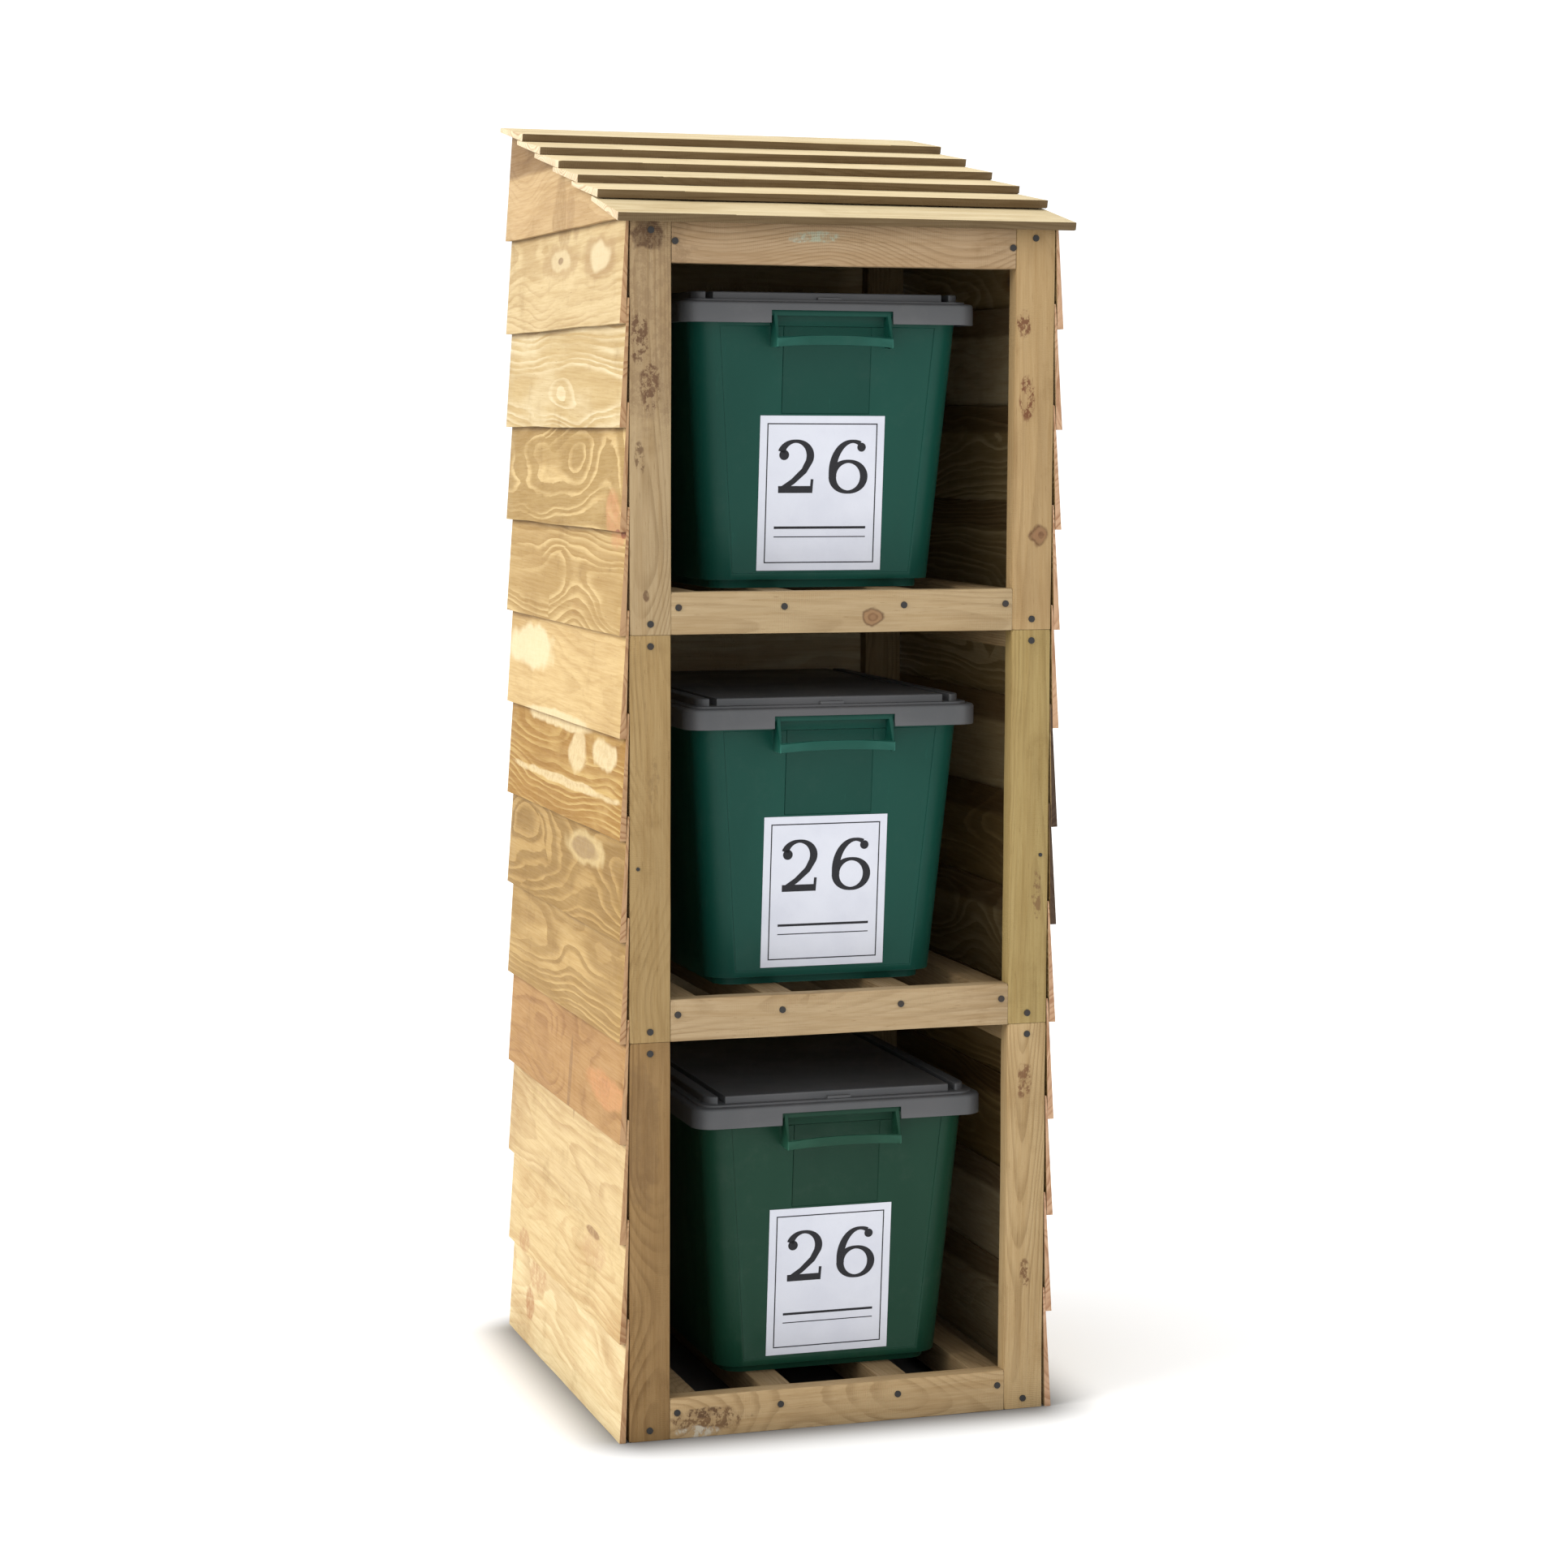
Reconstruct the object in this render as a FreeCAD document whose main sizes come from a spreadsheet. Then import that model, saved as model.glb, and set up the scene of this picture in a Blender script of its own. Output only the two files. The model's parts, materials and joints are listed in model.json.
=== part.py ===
import FreeCAD, Part
import math
import os

import Sketcher

# Recycling box store: three stacked timber modules with feather-edge cladding and a lapped
# lean-to roof, holding three lidded kerbside boxes that pull out at the front.
# Millimetres. X runs across the front, Y from the front to the back, Z up from the ground.
# The origin is the middle of the footprint, roof overhang included, on the ground.

LEVELS = ("bottom", "middle", "top")
BOARDS_PER_MODULE = 4
ROOF_BOARDS = 6

SIZES = {
    # timber frame
    "frame_width": 528,
    "store_depth": 574,
    "module_height": 482,
    "post_width": 50,
    "post_thickness": 22,
    "rail_height": 50,
    "rail_thickness": 22,
    "batten_width": 50,
    "batten_height": 22,
    "slat_width": 38,
    "slat_height": 38,
    "inner_slat_centre": 75,
    # feather-edge cladding
    "cladding_board": 150,
    "cladding_thick_edge": 8,
    "cladding_thin_edge": 2.5,
    # roof
    "roof_slope": 13.8,
    "roof_side_overhang": 7,
    "roof_front_overhang": 20,
    "roof_board": 125,
    "roof_thick_edge": 10,
    "roof_thin_edge": 6,
    # boxes, as they stand on the slats
    "bin_side_clearance": 29,
    "bin_front_setback": 34,
    "bin_back_gap": 22,
    "lid_headroom": 80,
    "bin_wall": 3,
    "bin_taper": 26,
    "bin_corner": 30,
    "foot_height": 10,
    "foot_inset": 12,
    "rim_overhang": 11,
    "rim_lip": 14,
    "panel_depth": 1.5,
    "panel_margin": 33,
    "panel_bottom": 18,
    "panel_top": 26,
    "band_width": 110,
    "band_depth": 0.6,
    "band_stop": 2,
    "handle_width": 146,
    "handle_reach": 30,
    "handle_bar": 11,
    "handle_bow": 3,
    "handle_wall": 3.5,
    "handle_drop": 40,
    # lids
    "lid_wall": 2.5,
    "lid_fit": 1.5,
    "lid_skirt": 25,
    "lid_corner": 25,
    "lid_edge_round": 4,
    "lid_step": 2.5,
    "lid_step_inset": 9,
    "lid_panel": 9,
    "lid_panel_inset": 18,
    "lid_channel": 9,
    "lid_channel_centre": 148,
    "notch_clearance": 3,
    "notch_height": 15,
    "lid_tab_width": 30,
    "lid_tab_depth": 6,
    # labels
    "label_width": 157,
    "label_height": 186,
    "label_thickness": 0.5,
    "label_bottom": 21,
    # how far each box stands from the middle of its bay, and its label from the box's middle
    "bottom_bin_shift": 13,
    "middle_bin_shift": 1,
    "top_bin_shift": -5,
    "bottom_label_shift": -5,
    "middle_label_shift": -2,
    "top_label_shift": -3,
    # nails
    "nail_head": 8,
    "nail_head_thickness": 1.2,
    "nail_shank": 3.4,
    "nail_length": 45,
    "nail_end_distance": 13,
    "rail_nail_height": 32,
    "outer_nail_centre": 205,
    "header_nail_centre": 210,
    "brad_head": 4.5,
}

doc = FreeCAD.newDocument("RecyclingStore")
sheet = doc.addObject("Spreadsheet::Sheet", "Sizes")
for row, (alias, number) in enumerate(SIZES.items(), start=1):
    sheet.set(f"A{row}", alias)
    sheet.set(f"B{row}", str(number))
    sheet.setAlias(f"B{row}", alias)
doc.recompute()

V = FreeCAD.Vector
X_AXIS = V(1, 0, 0)
Y_AXIS = V(0, 1, 0)
Z_AXIS = V(0, 0, 1)

# ---------------------------------------------------------------- derived places, as expressions

SLOPE = "(Sizes.roof_slope * 1deg)"
EAVES = f"({len(LEVELS)} * Sizes.module_height)"
HALF_WIDTH = "(Sizes.frame_width / 2)"
OPENING = "(Sizes.frame_width - 2 * Sizes.post_width)"
FRONT = "((Sizes.roof_front_overhang - Sizes.store_depth) / 2)"
BACK = "((Sizes.roof_front_overhang + Sizes.store_depth) / 2)"

# Each cladding board's foot stands on the face of the board below it.
CLADDING_PITCH = f"(Sizes.module_height / {BOARDS_PER_MODULE})"
CLADDING_LAP = f"(1 - {CLADDING_PITCH} / Sizes.cladding_board)"
CLADDING_LIFT = (f"((Sizes.cladding_thin_edge + {CLADDING_LAP} * (Sizes.cladding_thick_edge"
                 f" - Sizes.cladding_thin_edge)) / (1 - {CLADDING_LAP}))")
CLADDING_DEPTH = f"({CLADDING_LIFT} + Sizes.cladding_thick_edge)"

FRAME_BACK = f"({BACK} - {CLADDING_DEPTH})"
BACK_POST_FRONT = f"({FRAME_BACK} - Sizes.post_thickness)"
SPAN_DEPTH = f"({BACK_POST_FRONT} - {FRONT} - Sizes.post_thickness)"
BACK_EAVES = f"({EAVES} + tan({SLOPE}) * ({BACK_POST_FRONT} - {FRONT}))"

# The roof boards lie on the slope line, which starts at the front posts' top front edge.
ROOF_START = f"({FRONT} - Sizes.roof_front_overhang + Sizes.roof_thick_edge * sin({SLOPE}))"
ROOF_RUN = f"(({BACK} - {ROOF_START}) / cos({SLOPE}))"
ROOF_PITCH = f"(({ROOF_RUN} - Sizes.roof_board) / {ROOF_BOARDS - 1})"
ROOF_LAP = f"(1 - {ROOF_PITCH} / Sizes.roof_board)"
ROOF_LIFT = (f"((Sizes.roof_thin_edge + {ROOF_LAP} * (Sizes.roof_thick_edge"
             f" - Sizes.roof_thin_edge)) / (1 - {ROOF_LAP}))")
ROOF_WIDTH = f"(Sizes.frame_width + 2 * ({CLADDING_DEPTH} + Sizes.roof_side_overhang))"

# The lid fills the bay less its clearances, and the box takes its size from the lid.
LID_WIDTH = f"({OPENING} - 2 * Sizes.bin_side_clearance)"
LID_LENGTH = (f"({BACK_POST_FRONT} - {FRONT} - Sizes.bin_front_setback"
              " - Sizes.bin_back_gap)")
BIN_CENTRE_Y = f"({FRONT} + Sizes.bin_front_setback + {LID_LENGTH} / 2)"
LID_RISE = "(Sizes.lid_step + Sizes.lid_panel)"
BIN_HEIGHT = (f"(Sizes.module_height - Sizes.rail_height - Sizes.lid_headroom - {LID_RISE}"
              " - Sizes.lid_wall)")
RIM_INSET = "(2 * (Sizes.lid_wall + Sizes.lid_fit))"
RIM_CORNER = "(Sizes.lid_corner - Sizes.lid_wall - Sizes.lid_fit)"


def level_base(index):
    """Height of a module's underside."""
    return f"({index} * Sizes.module_height)"


def value(expression):
    """The present value of an expression of the sheet's sizes."""
    result = sheet.evalExpression(expression)
    return float(getattr(result, "Value", result))


# ---------------------------------------------------------------- helpers

nodes = []


def keep(item, label):
    """Give a sub-part its name and put it on the list of what is written out."""
    item.Label = label
    nodes.append(item)
    return item


def place(item, x, y, z):
    """Bind a sub-part's position to the sheet."""
    item.setExpression("Placement.Base.x", x)
    item.setExpression("Placement.Base.y", y)
    item.setExpression("Placement.Base.z", z)
    return item


def timber(name, x, y, z, across, deep, tall):
    """A square-edged stick, from its low corner."""
    stick = doc.addObject("Part::Box", name)
    stick.setExpression("Length", across)
    stick.setExpression("Width", deep)
    stick.setExpression("Height", tall)
    return place(stick, x, y, z)


def feather_board(name, length, board, thick, thin, lift):
    """A tapered board: length along X, its face up Y, its thickness outward along Z."""
    item = doc.addObject("Part::Wedge", name)
    for side in ("Xmin", "X2min", "Ymin", "Z2min"):
        setattr(item, side, 0)
    item.setExpression("Xmax", length)
    item.setExpression("X2max", length)
    item.setExpression("Ymax", board)
    item.setExpression("Zmin", lift)
    item.setExpression("Zmax", f"{lift} + {thick}")
    item.setExpression("Z2max", thin)
    return item


def group(label, members):
    """One node of several separate solids."""
    item = doc.addObject("Part::Compound", label)
    item.Links = members
    return keep(item, label)


def origin_plane(body, role):
    """One of a body's own origin planes."""
    return next(plane for plane in body.Origin.OriginFeatures if plane.Role == role)


def new_sketch(body, name, role, offset="0"):
    """A sketch on a body's own plane, moved along that plane's normal."""
    sketch = body.newObject("Sketcher::SketchObject", name)
    sketch.AttachmentSupport = [(origin_plane(body, role), "")]
    sketch.MapMode = "FlatFace"
    sketch.setExpression("AttachmentOffset.Base.z", offset)
    return sketch


def name_size(sketch, constraint, name, expression):
    """Add a dimension to a sketch and bind it to the sheet."""
    index = sketch.addConstraint(constraint)
    sketch.renameConstraint(index, name)
    sketch.setExpression(f"Constraints.{name}", expression)


def rectangle(sketch, width, length, centre_x="0", centre_y="0"):
    """A rectangle about a centre, every side bound to the sheet."""
    half_x = value(width) / 2
    half_y = value(length) / 2
    mid_x = value(centre_x)
    mid_y = value(centre_y)
    corners = [V(mid_x - half_x, mid_y - half_y), V(mid_x + half_x, mid_y - half_y),
               V(mid_x + half_x, mid_y + half_y), V(mid_x - half_x, mid_y + half_y)]
    first = sketch.GeometryCount
    for index in range(4):
        sketch.addGeometry(Part.LineSegment(corners[index], corners[(index + 1) % 4]), False)
    for index in range(4):
        following = first + (index + 1) % 4
        sketch.addConstraint(Sketcher.Constraint("Coincident", first + index, 2, following, 1))
    for index in (0, 2):
        sketch.addConstraint(Sketcher.Constraint("Horizontal", first + index))
        sketch.addConstraint(Sketcher.Constraint("Vertical", first + index + 1))
    tag = f"r{first}"
    name_size(sketch, Sketcher.Constraint("DistanceX", first, 1, first, 2, 2 * half_x),
              f"{tag}_width", width)
    name_size(sketch, Sketcher.Constraint("DistanceY", first + 1, 1, first + 1, 2, 2 * half_y),
              f"{tag}_length", length)
    low_x = f"{centre_x} - ({width}) / 2"
    low_y = f"{centre_y} - ({length}) / 2"
    name_size(sketch, Sketcher.Constraint("DistanceX", -1, 1, first, 1, corners[0].x),
              f"{tag}_left", low_x)
    name_size(sketch, Sketcher.Constraint("DistanceY", -1, 1, first, 1, corners[0].y),
              f"{tag}_low", low_y)


def rounded_rectangle(sketch, width, length, corner):
    """A rectangle with round corners about the sketch's origin."""
    half_x = value(width) / 2
    half_y = value(length) / 2
    radius = value(corner)
    straight_x = half_x - radius
    straight_y = half_y - radius
    first = sketch.GeometryCount
    lines = [(V(-straight_x, -half_y), V(straight_x, -half_y)),
             (V(half_x, -straight_y), V(half_x, straight_y)),
             (V(straight_x, half_y), V(-straight_x, half_y)),
             (V(-half_x, straight_y), V(-half_x, -straight_y))]
    centres = [V(straight_x, -straight_y), V(straight_x, straight_y),
               V(-straight_x, straight_y), V(-straight_x, -straight_y)]
    for index in range(4):
        sketch.addGeometry(Part.LineSegment(*lines[index]), False)
        circle = Part.Circle(centres[index], Z_AXIS, radius)
        start = math.radians(90 * index - 90)
        arc = Part.ArcOfCircle(circle, start, start + math.radians(90))
        sketch.addGeometry(arc, False)
    for index in range(4):
        line = first + 2 * index
        arc = line + 1
        following = first + (2 * index + 2) % 8
        sketch.addConstraint(Sketcher.Constraint("Tangent", line, 2, arc, 1))
        sketch.addConstraint(Sketcher.Constraint("Tangent", arc, 2, following, 1))
    for index in (0, 4):
        sketch.addConstraint(Sketcher.Constraint("Horizontal", first + index))
        sketch.addConstraint(Sketcher.Constraint("Vertical", first + index + 2))
    for index in (3, 5, 7):
        sketch.addConstraint(Sketcher.Constraint("Equal", first + 1, first + index))
    tag = f"r{first}"
    name_size(sketch, Sketcher.Constraint("Radius", first + 1, radius), f"{tag}_corner", corner)
    name_size(sketch, Sketcher.Constraint("DistanceX", first + 6, 1, first + 2, 1, 2 * half_x),
              f"{tag}_width", width)
    name_size(sketch, Sketcher.Constraint("DistanceY", first, 1, first + 4, 1, 2 * half_y),
              f"{tag}_length", length)
    name_size(sketch, Sketcher.Constraint("DistanceX", -1, 1, first + 2, 1, half_x),
              f"{tag}_right", f"({width}) / 2")
    name_size(sketch, Sketcher.Constraint("DistanceY", -1, 1, first + 4, 1, half_y),
              f"{tag}_far", f"({length}) / 2")


def polygon(sketch, corners):
    """A closed outline through corners given as pairs of expressions."""
    points = [V(value(x), value(y), 0) for x, y in corners]
    count = len(points)
    for index in range(count):
        sketch.addGeometry(Part.LineSegment(points[index], points[(index + 1) % count]), False)
    for index in range(count):
        following = (index + 1) % count
        sketch.addConstraint(Sketcher.Constraint("Coincident", index, 2, following, 1))
    for index, (x, y) in enumerate(corners):
        name_size(sketch, Sketcher.Constraint("DistanceX", -1, 1, index, 1, points[index].x),
                  f"corner{index}_x", x)
        name_size(sketch, Sketcher.Constraint("DistanceY", -1, 1, index, 1, points[index].y),
                  f"corner{index}_y", y)


def pad(body, sketch, length, reverse=False):
    """Add material over a sketch."""
    feature = body.newObject("PartDesign::Pad", f"{sketch.Name}_pad")
    feature.Profile = sketch
    feature.Reversed = reverse
    feature.setExpression("Length", length)
    return feature


def cut_away(body, sketch, length, reverse=False):
    """Pocket a sketch and make sure that it took material off."""
    doc.recompute()
    before = body.Shape.Volume
    feature = body.newObject("PartDesign::Pocket", f"{sketch.Name}_pocket")
    feature.Profile = sketch
    feature.Reversed = reverse
    feature.setExpression("Length", length)
    doc.recompute()
    if not body.Shape.Volume < before:
        raise RuntimeError(f"{feature.Label} cuts nothing")
    return feature


def loft(body, kind, low, high):
    """A ruled loft between two sketches: AdditiveLoft or SubtractiveLoft."""
    feature = body.newObject(f"PartDesign::{kind}", f"{low.Name}_loft")
    feature.Profile = low
    feature.Sections = [high]
    feature.Ruled = True
    return feature


def nail(point, direction, head):
    """A round wire nail whose head sits on the surface at a point, driven along a direction."""
    inward = V(direction)
    head_disc = Part.makeCylinder(head / 2, value("Sizes.nail_head_thickness"), point,
                                  -inward)
    shank = Part.makeCylinder(value("Sizes.nail_shank / 2"), value("Sizes.nail_length"), point,
                              inward)
    return head_disc.fuse(shank).removeSplitter()


# ---------------------------------------------------------------- frame

def build_frame():
    """Posts, rails, headers, side battens, slats and rafters."""
    for index, level in enumerate(LEVELS):
        base = level_base(index)
        back_top = BACK_EAVES if level == "top" else level_base(index + 1)
        for side, x in (("left", f"-{HALF_WIDTH}"), ("right", f"{HALF_WIDTH} - Sizes.post_width")):
            front_post = timber(f"{level}_front_{side}_post", x, FRONT, base,
                                "Sizes.post_width", "Sizes.post_thickness",
                                "Sizes.module_height")
            keep(front_post, f"{level}_front_{side}_post")
            back_post = timber(f"{level}_back_{side}_post", x, BACK_POST_FRONT, base,
                               "Sizes.post_width", "Sizes.post_thickness",
                               f"{back_top} - {base}")
            keep(back_post, f"{level}_back_{side}_post")
        rail(f"{level}_front_rail", FRONT, base)
        rail(f"{level}_back_rail", f"{FRAME_BACK} - Sizes.rail_thickness", base)
        build_slats(level, base)
    rail("front_header", FRONT, f"{EAVES} - Sizes.rail_height")
    rail("back_header", f"{FRAME_BACK} - Sizes.rail_thickness",
         f"{BACK_EAVES} - Sizes.rail_height")
    for side, x in (("left", f"-{HALF_WIDTH}"), ("right", f"{HALF_WIDTH} - Sizes.batten_width")):
        build_side_battens(side, x)
        build_rafter(side, x)


def rail(label, y, z):
    """A cross rail between the posts."""
    keep(timber(label, f"-{OPENING} / 2", y, z, OPENING, "Sizes.rail_thickness",
                "Sizes.rail_height"), label)


def build_slats(level, base):
    """Four slats run from the front rail to the back rail, their tops flush with the rails."""
    outer = f"{OPENING} / 2 - Sizes.slat_width / 2"
    centres = (f"-({outer})", "-Sizes.inner_slat_centre", "Sizes.inner_slat_centre", outer)
    front = f"{FRONT} + Sizes.rail_thickness"
    back = f"{FRAME_BACK} - Sizes.rail_thickness"
    slats = []
    for index, centre in enumerate(centres):
        slats.append(timber(f"{level}_slat_{index + 1}", f"{centre} - Sizes.slat_width / 2",
                            front, f"{base} + Sizes.rail_height - Sizes.slat_height",
                            "Sizes.slat_width", f"{back} - ({front})", "Sizes.slat_height"))
    group(f"{level}_slats", slats)


def build_side_battens(side, x):
    """Flat battens behind the posts tie front to back at each module's foot and head."""
    battens = []
    for index, level in enumerate(LEVELS):
        heights = [level_base(index)]
        if level != "top":
            heights.append(f"{level_base(index + 1)} - Sizes.batten_height")
        for number, height in enumerate(heights):
            battens.append(timber(f"{side}_batten_{level}_{number}", x,
                                  f"{FRONT} + Sizes.post_thickness", height,
                                  "Sizes.batten_width", SPAN_DEPTH, "Sizes.batten_height"))
    group(f"{side}_side_battens", battens)


def build_rafter(side, x):
    """A sloping batten with plumb-cut ends, its top on the slope line."""
    body = doc.addObject("PartDesign::Body", f"{side}_rafter")
    sketch = new_sketch(body, f"{side}_rafter_side", "YZ_Plane")
    plumb = f"Sizes.batten_height / cos({SLOPE})"
    rise = f"tan({SLOPE}) * {SPAN_DEPTH}"
    polygon(sketch, [("0", "0"), (SPAN_DEPTH, rise), (SPAN_DEPTH, f"{rise} + {plumb}"),
                     ("0", plumb)])
    pad(body, sketch, "Sizes.batten_width")
    place(body, x, f"{FRONT} + Sizes.post_thickness",
          f"{EAVES} + tan({SLOPE}) * Sizes.post_thickness - {plumb}")
    keep(body, f"{side}_rafter")


# ---------------------------------------------------------------- cladding and roof

def above_roof_line():
    """Everything above the slope line, to trim the top boards with."""
    space = doc.addObject("Part::Box", "above_roof_line")
    space.setExpression("Length", ROOF_WIDTH)
    space.setExpression("Width", f"2 * {ROOF_RUN}")
    space.setExpression("Height", "Sizes.store_depth")
    space.Placement = FreeCAD.Placement(V(), FreeCAD.Rotation(X_AXIS, 10))
    space.setExpression("Placement.Rotation.Angle", "Sizes.roof_slope")
    return place(space, f"-{ROOF_WIDTH} / 2", ROOF_START,
                 f"{EAVES} - tan({SLOPE}) * ({FRONT} - {ROOF_START})")


def trimmed(board, space):
    """A board cut off along the slope line."""
    item = doc.addObject("Part::Cut", f"{board.Name}_trimmed")
    item.Base = board
    item.Tool = space
    return item


def build_wall(wall, x, y, run, outward, length, space):
    """One clad wall: four boards to a module, and a top board trimmed to the roof."""
    turn = FreeCAD.Rotation(run, Z_AXIS, outward, "XYZ")
    boards = []
    for index in range(BOARDS_PER_MODULE * len(LEVELS) + 1):
        board = feather_board(f"{wall}_board_{index + 1}", length, "Sizes.cladding_board",
                              "Sizes.cladding_thick_edge", "Sizes.cladding_thin_edge",
                              CLADDING_LIFT)
        board.Placement = FreeCAD.Placement(V(), turn)
        place(board, x, y, f"{index} * {CLADDING_PITCH}")
        near_roof = index >= BOARDS_PER_MODULE * len(LEVELS) - 1
        boards.append(trimmed(board, space) if near_roof else board)
    for index, level in enumerate(LEVELS):
        first = index * BOARDS_PER_MODULE
        group(f"{level}_{wall}_cladding", boards[first:first + BOARDS_PER_MODULE])
    keep(boards[-1], f"{wall}_top_board")


def build_cladding():
    """Side walls cover the ends of the back wall."""
    space = above_roof_line()
    build_wall("left", f"-{HALF_WIDTH}", BACK, -Y_AXIS, -X_AXIS, "Sizes.store_depth", space)
    build_wall("right", HALF_WIDTH, FRONT, Y_AXIS, X_AXIS, "Sizes.store_depth", space)
    build_wall("back", HALF_WIDTH, FRAME_BACK, -X_AXIS, Y_AXIS, "Sizes.frame_width", space)


def build_roof():
    """Boards lapped up the slope; the first lies flat on the rafters."""
    for index in range(ROOF_BOARDS):
        lift = "0" if index == 0 else ROOF_LIFT
        board = feather_board(f"roof_board_{index + 1}", ROOF_WIDTH, "Sizes.roof_board",
                              "Sizes.roof_thick_edge", "Sizes.roof_thin_edge", lift)
        board.Placement = FreeCAD.Placement(V(), FreeCAD.Rotation(X_AXIS, 10))
        board.setExpression("Placement.Rotation.Angle", "Sizes.roof_slope")
        along = f"{index} * {ROOF_PITCH}"
        place(board, f"-{ROOF_WIDTH} / 2", f"{ROOF_START} + {along} * cos({SLOPE})",
              f"{EAVES} - tan({SLOPE}) * ({FRONT} - {ROOF_START}) + {along} * sin({SLOPE})")
        keep(board, f"roof_board_{index + 1}")


# ---------------------------------------------------------------- boxes

RIM_WIDTH = f"({LID_WIDTH} - {RIM_INSET})"
RIM_LENGTH = f"({LID_LENGTH} - {RIM_INSET})"
BIN_TOP_WIDTH = f"({RIM_WIDTH} - 2 * Sizes.rim_overhang)"
BIN_TOP_LENGTH = f"({RIM_LENGTH} - 2 * Sizes.rim_overhang)"
BIN_LOW_WIDTH = f"({BIN_TOP_WIDTH} - 2 * Sizes.bin_taper)"
BIN_LOW_LENGTH = f"({BIN_TOP_LENGTH} - 2 * Sizes.bin_taper)"
FOOT_WIDTH = f"({BIN_LOW_WIDTH} - 2 * Sizes.foot_inset)"
FOOT_LENGTH = f"({BIN_LOW_LENGTH} - 2 * Sizes.foot_inset)"
TAPER_RATE = f"(Sizes.bin_taper / ({BIN_HEIGHT} - Sizes.foot_height))"
HANDLE_TOP = f"({BIN_HEIGHT} + Sizes.lid_wall - Sizes.lid_skirt + Sizes.notch_height - 1.5)"
HANDLE_LOW = f"({BIN_HEIGHT} - Sizes.handle_drop - Sizes.handle_bar)"


def end_face(height):
    """Distance of the box's sloping end face from its middle, at a height."""
    return f"({BIN_LOW_LENGTH} / 2 + {TAPER_RATE} * ({height} - Sizes.foot_height))"


def side_face(height):
    """Distance of the box's sloping side face from its middle, at a height."""
    return f"({BIN_LOW_WIDTH} / 2 + {TAPER_RATE} * ({height} - Sizes.foot_height))"


def build_bin(level, base):
    """A tapered open box with a stepped foot, a turned-down rim and a loop handle at each end."""
    body = doc.addObject("PartDesign::Body", f"{level}_bin")

    foot = new_sketch(body, f"{level}_foot", "XY_Plane")
    rounded_rectangle(foot, FOOT_WIDTH, FOOT_LENGTH, "Sizes.bin_corner - Sizes.foot_inset / 2")
    pad(body, foot, "Sizes.foot_height")

    low = new_sketch(body, f"{level}_wall_low", "XY_Plane", "Sizes.foot_height")
    rounded_rectangle(low, BIN_LOW_WIDTH, BIN_LOW_LENGTH, "Sizes.bin_corner")
    high = new_sketch(body, f"{level}_wall_high", "XY_Plane", BIN_HEIGHT)
    rounded_rectangle(high, BIN_TOP_WIDTH, BIN_TOP_LENGTH, "Sizes.bin_corner")
    loft(body, "AdditiveLoft", low, high)

    flange = new_sketch(body, f"{level}_flange", "XY_Plane", f"{BIN_HEIGHT} - Sizes.bin_wall")
    rounded_rectangle(flange, RIM_WIDTH, RIM_LENGTH, RIM_CORNER)
    pad(body, flange, "Sizes.bin_wall")
    lip = new_sketch(body, f"{level}_lip", "XY_Plane", f"{BIN_HEIGHT} - Sizes.rim_lip")
    rounded_rectangle(lip, RIM_WIDTH, RIM_LENGTH, RIM_CORNER)
    rounded_rectangle(lip, f"{RIM_WIDTH} - 2 * Sizes.bin_wall",
                      f"{RIM_LENGTH} - 2 * Sizes.bin_wall", f"{RIM_CORNER} - Sizes.bin_wall")
    pad(body, lip, "Sizes.rim_lip")

    for end, sign in (("front", -1), ("back", 1)):
        build_handle(body, level, end, sign)
        build_end_panel(body, level, end, sign)

    inner_low = new_sketch(body, f"{level}_inside_low", "XY_Plane",
                           "Sizes.foot_height + Sizes.bin_wall")
    lift = f"2 * {TAPER_RATE} * Sizes.bin_wall - 2 * Sizes.bin_wall"
    rounded_rectangle(inner_low, f"{BIN_LOW_WIDTH} + {lift}", f"{BIN_LOW_LENGTH} + {lift}",
                      "Sizes.bin_corner - Sizes.bin_wall")
    inner_high = new_sketch(body, f"{level}_inside_high", "XY_Plane", BIN_HEIGHT)
    rounded_rectangle(inner_high, f"{BIN_TOP_WIDTH} - 2 * Sizes.bin_wall",
                      f"{BIN_TOP_LENGTH} - 2 * Sizes.bin_wall",
                      "Sizes.bin_corner - Sizes.bin_wall")
    loft(body, "SubtractiveLoft", inner_low, inner_high)
    well = new_sketch(body, f"{level}_foot_well", "XY_Plane",
                      "Sizes.foot_height + 2 * Sizes.bin_wall")
    rounded_rectangle(well, f"{FOOT_WIDTH} - 2 * Sizes.bin_wall",
                      f"{FOOT_LENGTH} - 2 * Sizes.bin_wall",
                      "Sizes.bin_corner - Sizes.foot_inset / 2 - Sizes.bin_wall")
    cut_away(body, well, "Sizes.foot_height + Sizes.bin_wall")

    place(body, f"Sizes.{level}_bin_shift", BIN_CENTRE_Y, f"{base} + Sizes.rail_height")
    keep(body, f"{level}_bin")


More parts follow.
